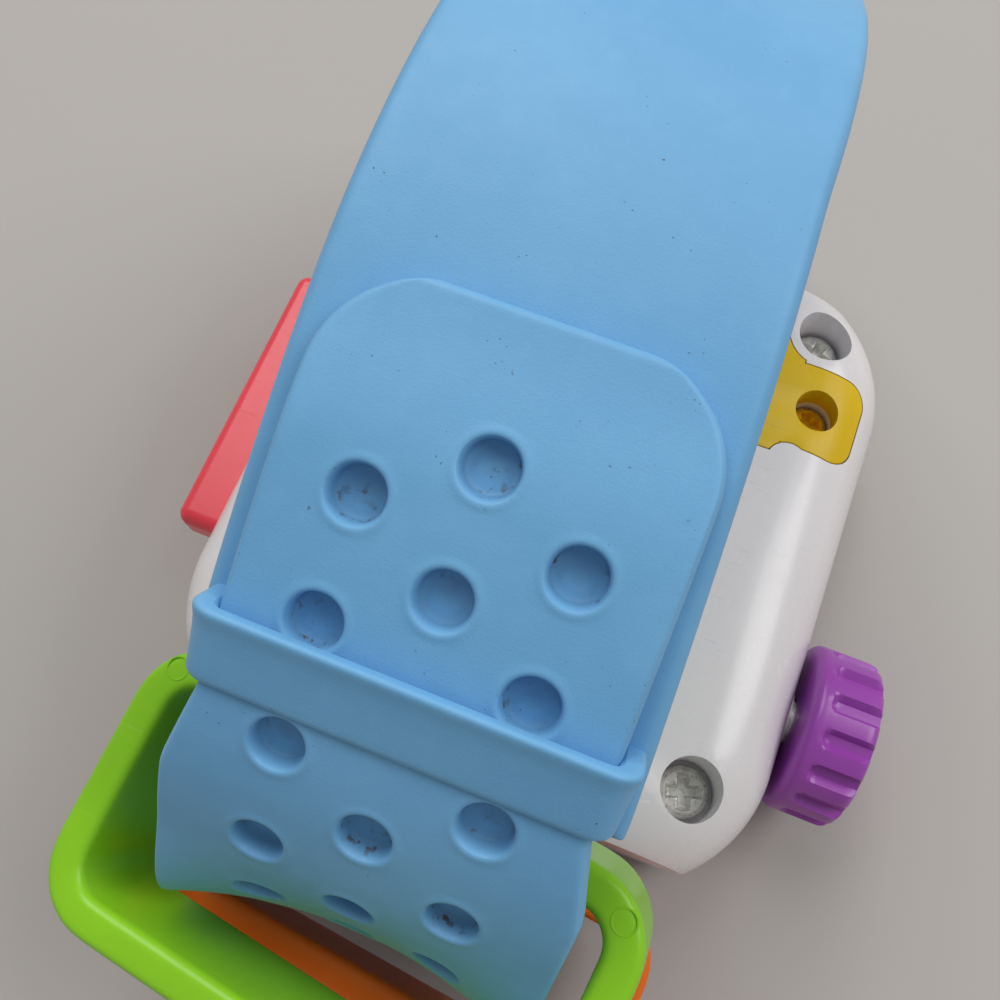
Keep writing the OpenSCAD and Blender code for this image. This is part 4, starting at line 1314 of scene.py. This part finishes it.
@dataclass
class CrownKnob:
    """The fluted knob on the case's side."""

    shop: Workshop
    y: float = -14.1
    z: float = 11.0
    start_x: float = 34.95
    length: float = 7.4
    radius: float = 9.5
    edge: float = 1.1
    grooves: int = 15
    groove_w: float = 1.9
    groove_depth: float = 0.9
    collar: float = 1.9
    per_groove: int = 14
    bore: float = 2.5

    def profile(self) -> list[Pair]:
        """Draws the knob's outline, from the bore to the outer face's middle.

        Returns:
            Distance along the axis and radius.
        """
        r, e, n = self.radius, self.edge, self.length
        rounding = (0.0, 0.4, 0.8, 1.2, math.pi / 2)
        points = [(0.35, self.bore), (0.0, self.bore + 0.4), (0.0, 5.0), (0.0, 7.2)]
        points += [(e - e * math.cos(a), r - e + e * math.sin(a)) for a in rounding]
        points += [(e + (n - 2 * e) * k / 14, r) for k in range(1, 14)]
        points += [(n - e + e * math.sin(a), r - e + e * math.cos(a)) for a in rounding]
        points += [(n, 7.4), (n, 6.6), (n - 0.28, 6.1), (n - 0.34, 5.0), (n - 0.3, 2.5), (n - 0.28, 0.6)]
        return points

    def groove(self, turn: float, along: float) -> float:
        """How much of a groove is at a place on the rim.

        Args:
            turn: Angle round the knob.
            along: Distance along its axis.

        Returns:
            A number from 0 to 1.
        """
        share = (turn * self.grooves / (2 * math.pi) + 0.5) % 1.0 - 0.5
        arc = share * 2 * math.pi * self.radius / self.grooves
        start = self.collar + self.groove_w / 2
        reach = math.hypot(arc, start - along) if along < start else abs(arc)
        half = self.groove_w / 2
        return 1.0 - smooth_step(half - 0.42, half + 0.22, reach)

    def build(self) -> bpy.types.Object:
        """Makes the knob.

        Returns:
            The piece.
        """
        mesh = MeshBuilder()
        count = self.grooves * self.per_groove
        rows = []
        for along, radius in self.profile():
            row = []
            for k in range(count):
                turn = 2 * math.pi * k / count
                limit = self.radius - self.groove_depth * self.groove(turn, along)
                size = min(radius, limit)
                spot = (self.start_x + along, self.y + size * math.sin(turn), self.z - size * math.cos(turn))
                row.append(mesh.add(spot))
            rows.append(row)
        mesh.tube(rows, closed=False)
        mesh.fan(rows[-1], mesh.add((self.start_x + self.length - 0.28, self.y, self.z)))
        mesh.fan(rows[0], mesh.add((self.start_x + 0.4, self.y, self.z)))
        obj = self.shop.piece("crown_knob_fluted", mesh.points, mesh.faces)
        return self.shop.mount(obj, Finish.PURPLE, Body.CROWN, ["crown_knob"])


@dataclass
class CrossScrews:
    """A group of pan head screws with worn cross slots."""

    shop: Workshop
    name: str
    node: str
    spots: Sequence[Pair]
    seat_z: float
    head_d: float
    head_t: float = 1.9
    shank_d: float = 2.9
    shank_l: float = 9.0
    spokes: int = 64
    slot_w: float = 0.095
    slot_reach: float = 0.33
    slot_depth: float = 1.05
    turns_deg: Sequence[float] = (18.0, 47.0, 71.0, 5.0)

    def slot(self, x: float, y: float) -> float:
        """Depth of the cross slot at a place on the head.

        Args:
            x: Place along one arm.
            y: Place along the other.

        Returns:
            A number from 0 to 1.
        """
        half_w, reach = self.head_d * self.slot_w, self.head_d * self.slot_reach
        best = 0.0
        for a, b in ((x, y), (y, x)):
            inside = 1 - smooth_step(half_w - 0.1, half_w + 0.16, abs(a))
            inside *= 1 - smooth_step(reach - 0.25, reach + 0.15, abs(b))
            best = max(best, inside)
        core = 1 - smooth_step(half_w * 1.3, half_w * 2.0, math.hypot(x, y))
        return max(best, core)

    def build(self) -> bpy.types.Object:
        """Makes the screws as one piece.

        Returns:
            The piece.
        """
        mesh = MeshBuilder()
        radius, t = self.head_d / 2, self.head_t
        for number, (cx, cy) in enumerate(self.spots):
            twist = math.radians(self.turns_deg[number % len(self.turns_deg)])
            ca, sa = math.cos(twist), math.sin(twist)
            outline = [(self.shank_d / 2, -self.shank_l), (self.shank_d / 2, 0.0), (radius - 0.1, 0.0)]
            rim = t * 0.42
            outline += [(radius, 0.15), (radius, rim)]
            outline += [(radius - 0.55 * (1 - math.cos(a)), rim + rim * math.sin(a)) for a in (0.5, 1.0, 1.5)]
            crown = [(radius - 0.6) * k / 13 for k in range(13, 0, -1)]
            outline += [(r, t - 0.16 * t * (r / radius) ** 2) for r in crown]
            rows = []
            for r, z in outline:
                row = []
                for k in range(self.spokes):
                    a = 2 * math.pi * k / self.spokes
                    x, y = r * math.cos(a), r * math.sin(a)
                    deep = self.slot(x, y) * self.slot_depth if z > t * 0.8 else 0.0
                    row.append(mesh.add((cx + x * ca - y * sa, cy + x * sa + y * ca, self.seat_z + z - deep)))
                rows.append(row)
            mesh.tube(rows, closed=False)
            mesh.fan(rows[-1], mesh.add((cx, cy, self.seat_z + t - 1.1)))
            mesh.fan(rows[0], mesh.add((cx, cy, self.seat_z - self.shank_l - 1.2)))
        obj = self.shop.piece(self.name, mesh.points, mesh.faces, 40.0)
        return self.shop.mount(obj, Finish.STEEL, Body.CASE, [self.node])


@dataclass
class CaseShell:
    """The white case with its hatch and screws."""

    shop: Workshop
    ring_screw: Pair = (25.5, -26.2)
    plain_screw: Pair = (24.5, 28.3)
    ear: Pair = (26.0, 18.5)
    head_seat_z: float = 15.0
    ear_seat_z: float = 16.2

    def build(self) -> None:
        """Dresses the case's solids and makes its screws."""
        self.shop.softened("front_shell_moulded", "front_shell", Finish.WHITE, Body.CASE, 0.35)
        self.shop.softened("back_cover_moulded", "back_cover", Finish.WHITE, Body.CASE, 0.35)
        self.shop.softened("hatch_moulded", "hatch", Finish.YELLOW, Body.CASE, 0.4)
        spots = [(sx * x, y) for x, y in (self.ring_screw, self.plain_screw) for sx in (1, -1)]
        CrossScrews(self.shop, "case_screws_cross", "case_screws", spots, self.head_seat_z, 5.6).build()
        ears = [(sx * self.ear[0], self.ear[1]) for sx in (1, -1)]
        screws = CrossScrews(self.shop, "hatch_screws_cross", "hatch_screws", ears, self.ear_seat_z, 4.7)
        screws.build().data.materials[0] = YELLOWED.material()


@dataclass
class DialFace:
    """Bezel, dial, marks and hands on the side that the watch lies on."""

    shop: Workshop

    def build(self) -> None:
        """Dresses the face's solids."""
        self.shop.softened("bezel_moulded", "bezel", Finish.YELLOW, Body.CASE, 0.3)
        self.shop.softened("hour_hand_moulded", "hour_hand", Finish.RED, Body.HOUR, 0.25)
        self.shop.softened("minute_hand_moulded", "minute_hand", Finish.PURPLE, Body.MINUTE, 0.25)
        self.shop.softened("post_cap_moulded", "post_cap", Finish.YELLOW, Body.CASE, 0.25)
        self.shop.softened("hour_marks_moulded", "hour_marks", Finish.ORANGE, Body.CASE, 0.2)
        self.shop.paint("dial", Finish.CREAM)
        self.shop.paint("centre_post", Finish.STEEL)
        self.shop.paint("hand_washer", Finish.STEEL)


@dataclass
class Movement:
    """Pieces inside the case and on the crown's shaft."""

    shop: Workshop

    def build(self) -> None:
        """Gives the inner solids their finishes."""
        steel = ("crown_bush", "crown_shaft", "shaft_screw", "click_spring", "click_screw")
        steel += ("button_springs", "strap_pins")
        for node in steel:
            self.shop.paint(node, Finish.STEEL)
        self.shop.paint("star_wheel", Finish.CREAM)


@dataclass
class Studio:
    """Floor, soft light and the camera at the photograph's viewing angle."""

    camera_at: Point = (8.4, -37.63, 126.3)
    right: Point = (0.9311, 0.3647, 0.007)
    down: Point = (0.3478, -0.8819, -0.3182)
    forward: Point = (-0.1099, 0.2987, -0.948)
    lens: float = 36.0
    sensor: float = 36.0
    near: float = 0.005
    floor_half: float = 3.0
    aim_z: float = 0.03
    world_colour: Colour = (1.0, 0.985, 0.975)
    world_level: float = 0.27

    def build(self) -> None:
        """Makes the floor, the lamps, the world and the camera."""
        self.floor()
        self.lamp("window", (-0.74, 0.94, 1.54), size=(1.3, 1.2), watts=21.5, colour=(1.0, 0.985, 0.965))
        self.lamp("fill", (0.94, 0.60, 1.29), size=(1.0, 1.0), watts=12.2, colour=(1.0, 0.985, 0.97))
        self.sky()
        self.view()

    def floor(self) -> None:
        """Makes a pale floor under the watch."""
        mesh = bpy.data.meshes.new("studio_floor")
        h = self.floor_half
        mesh.from_pydata([(-h, -h, 0), (h, -h, 0), (h, h, 0), (-h, h, 0)], [], [(0, 1, 2, 3)])
        mesh.materials.append(FloorPaint().material())
        obj = put("studio_floor", mesh)

    def lamp(self, name: str, at: Point, size: Pair, watts: float, colour: Colour) -> None:
        """Makes a soft lamp that points at the watch.

        Args:
            name: The lamp's name.
            at: Its place in metres.
            size: Its width and height in metres.
            watts: Its power.
            colour: Its colour.
        """
        data = bpy.data.lights.new(name, "AREA")
        data.shape = "RECTANGLE"
        data.size, data.size_y = size
        data.energy = watts
        data.color = colour
        obj = put(name, data)
        obj.location = at
        aim = Vector((0.0, 0.0, self.aim_z)) - Vector(at)
        obj.rotation_euler = aim.to_track_quat("-Z", "Y").to_euler()

    def sky(self) -> None:
        """Sets an even soft world."""
        world = bpy.data.worlds.new("soft_room")
        world.use_nodes = True
        back = world.node_tree.nodes["Background"]
        back.inputs["Color"].default_value = (*self.world_colour, 1.0)
        back.inputs["Strength"].default_value = self.world_level
        bpy.context.scene.world = world

    def view(self) -> None:
        """Places the camera."""
        data = bpy.data.cameras.new("photo_camera")
        data.lens = self.lens
        data.sensor_width = self.sensor
        data.clip_start = self.near
        obj = put("photo_camera", data)
        right, up, back = Vector(self.right), -Vector(self.down), -Vector(self.forward)
        turn = Matrix((right.normalized(), up.normalized(), back.normalized())).transposed()
        obj.matrix_world = Matrix.Translation(Vector(self.camera_at) * MM) @ turn.to_4x4()
        bpy.context.scene.camera = obj


def build_rings(shop: Workshop, loop: StrapLoop) -> None:
    """Makes the two rings: the orange one stands upright by the case and the green one leans above it.

    Args:
        shop: Makes and mounts the pieces.
        loop: The straps' line.
    """
    orange_l = 50.0
    orange_w = 20.6
    corner_r = 6.0
    clear = 0.5
    twist = math.radians(LoopRing.twist_deg)
    reach = corner_r + (orange_l / 2 - corner_r) * math.sin(twist)
    reach += (orange_w / 2 - corner_r) * math.cos(twist)
    orange_at = (1.9, -loop.seat_y - clear - reach, loop.low_z + 3 * clear + LoopRing.height)
    green_at = (-2.0, loop.side_y + 0.5, 41.2)
    orange = LoopRing(
        shop, "orange_ring_moulded", "orange_ring", Finish.ORANGE, Body.LOWER_RING, orange_at,
        length=orange_l, width=orange_w,
    )
    orange.build()
    green = LoopRing(
        shop, "green_ring_moulded", "green_ring", Finish.GREEN, Body.UPPER_RING, green_at,
        length=48.0, width=25.8, lean_deg=8.0, roll_deg=9.0,
    )
    green.build()


def main() -> None:
    """Builds the watch around the frame."""
    logging.basicConfig(level=logging.INFO, format="%(name)s: %(message)s")
    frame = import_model()
    bpy.context.scene.view_settings.view_transform = "Standard"
    shop = Workshop(frame)
    Studio().build()
    loop = StrapLoop()
    PlainStrap(shop, loop).build()
    DimpledStrap(shop, loop).build()
    build_rings(shop, loop)
    CaseShell(shop).build()
    CrownKnob(shop).build()
    shop.softened("side_button_moulded", "side_button", Finish.RED, Body.BUTTON, 0.3)
    DialFace(shop).build()
    Movement(shop).build()


if __name__ == "__main__":
    main()
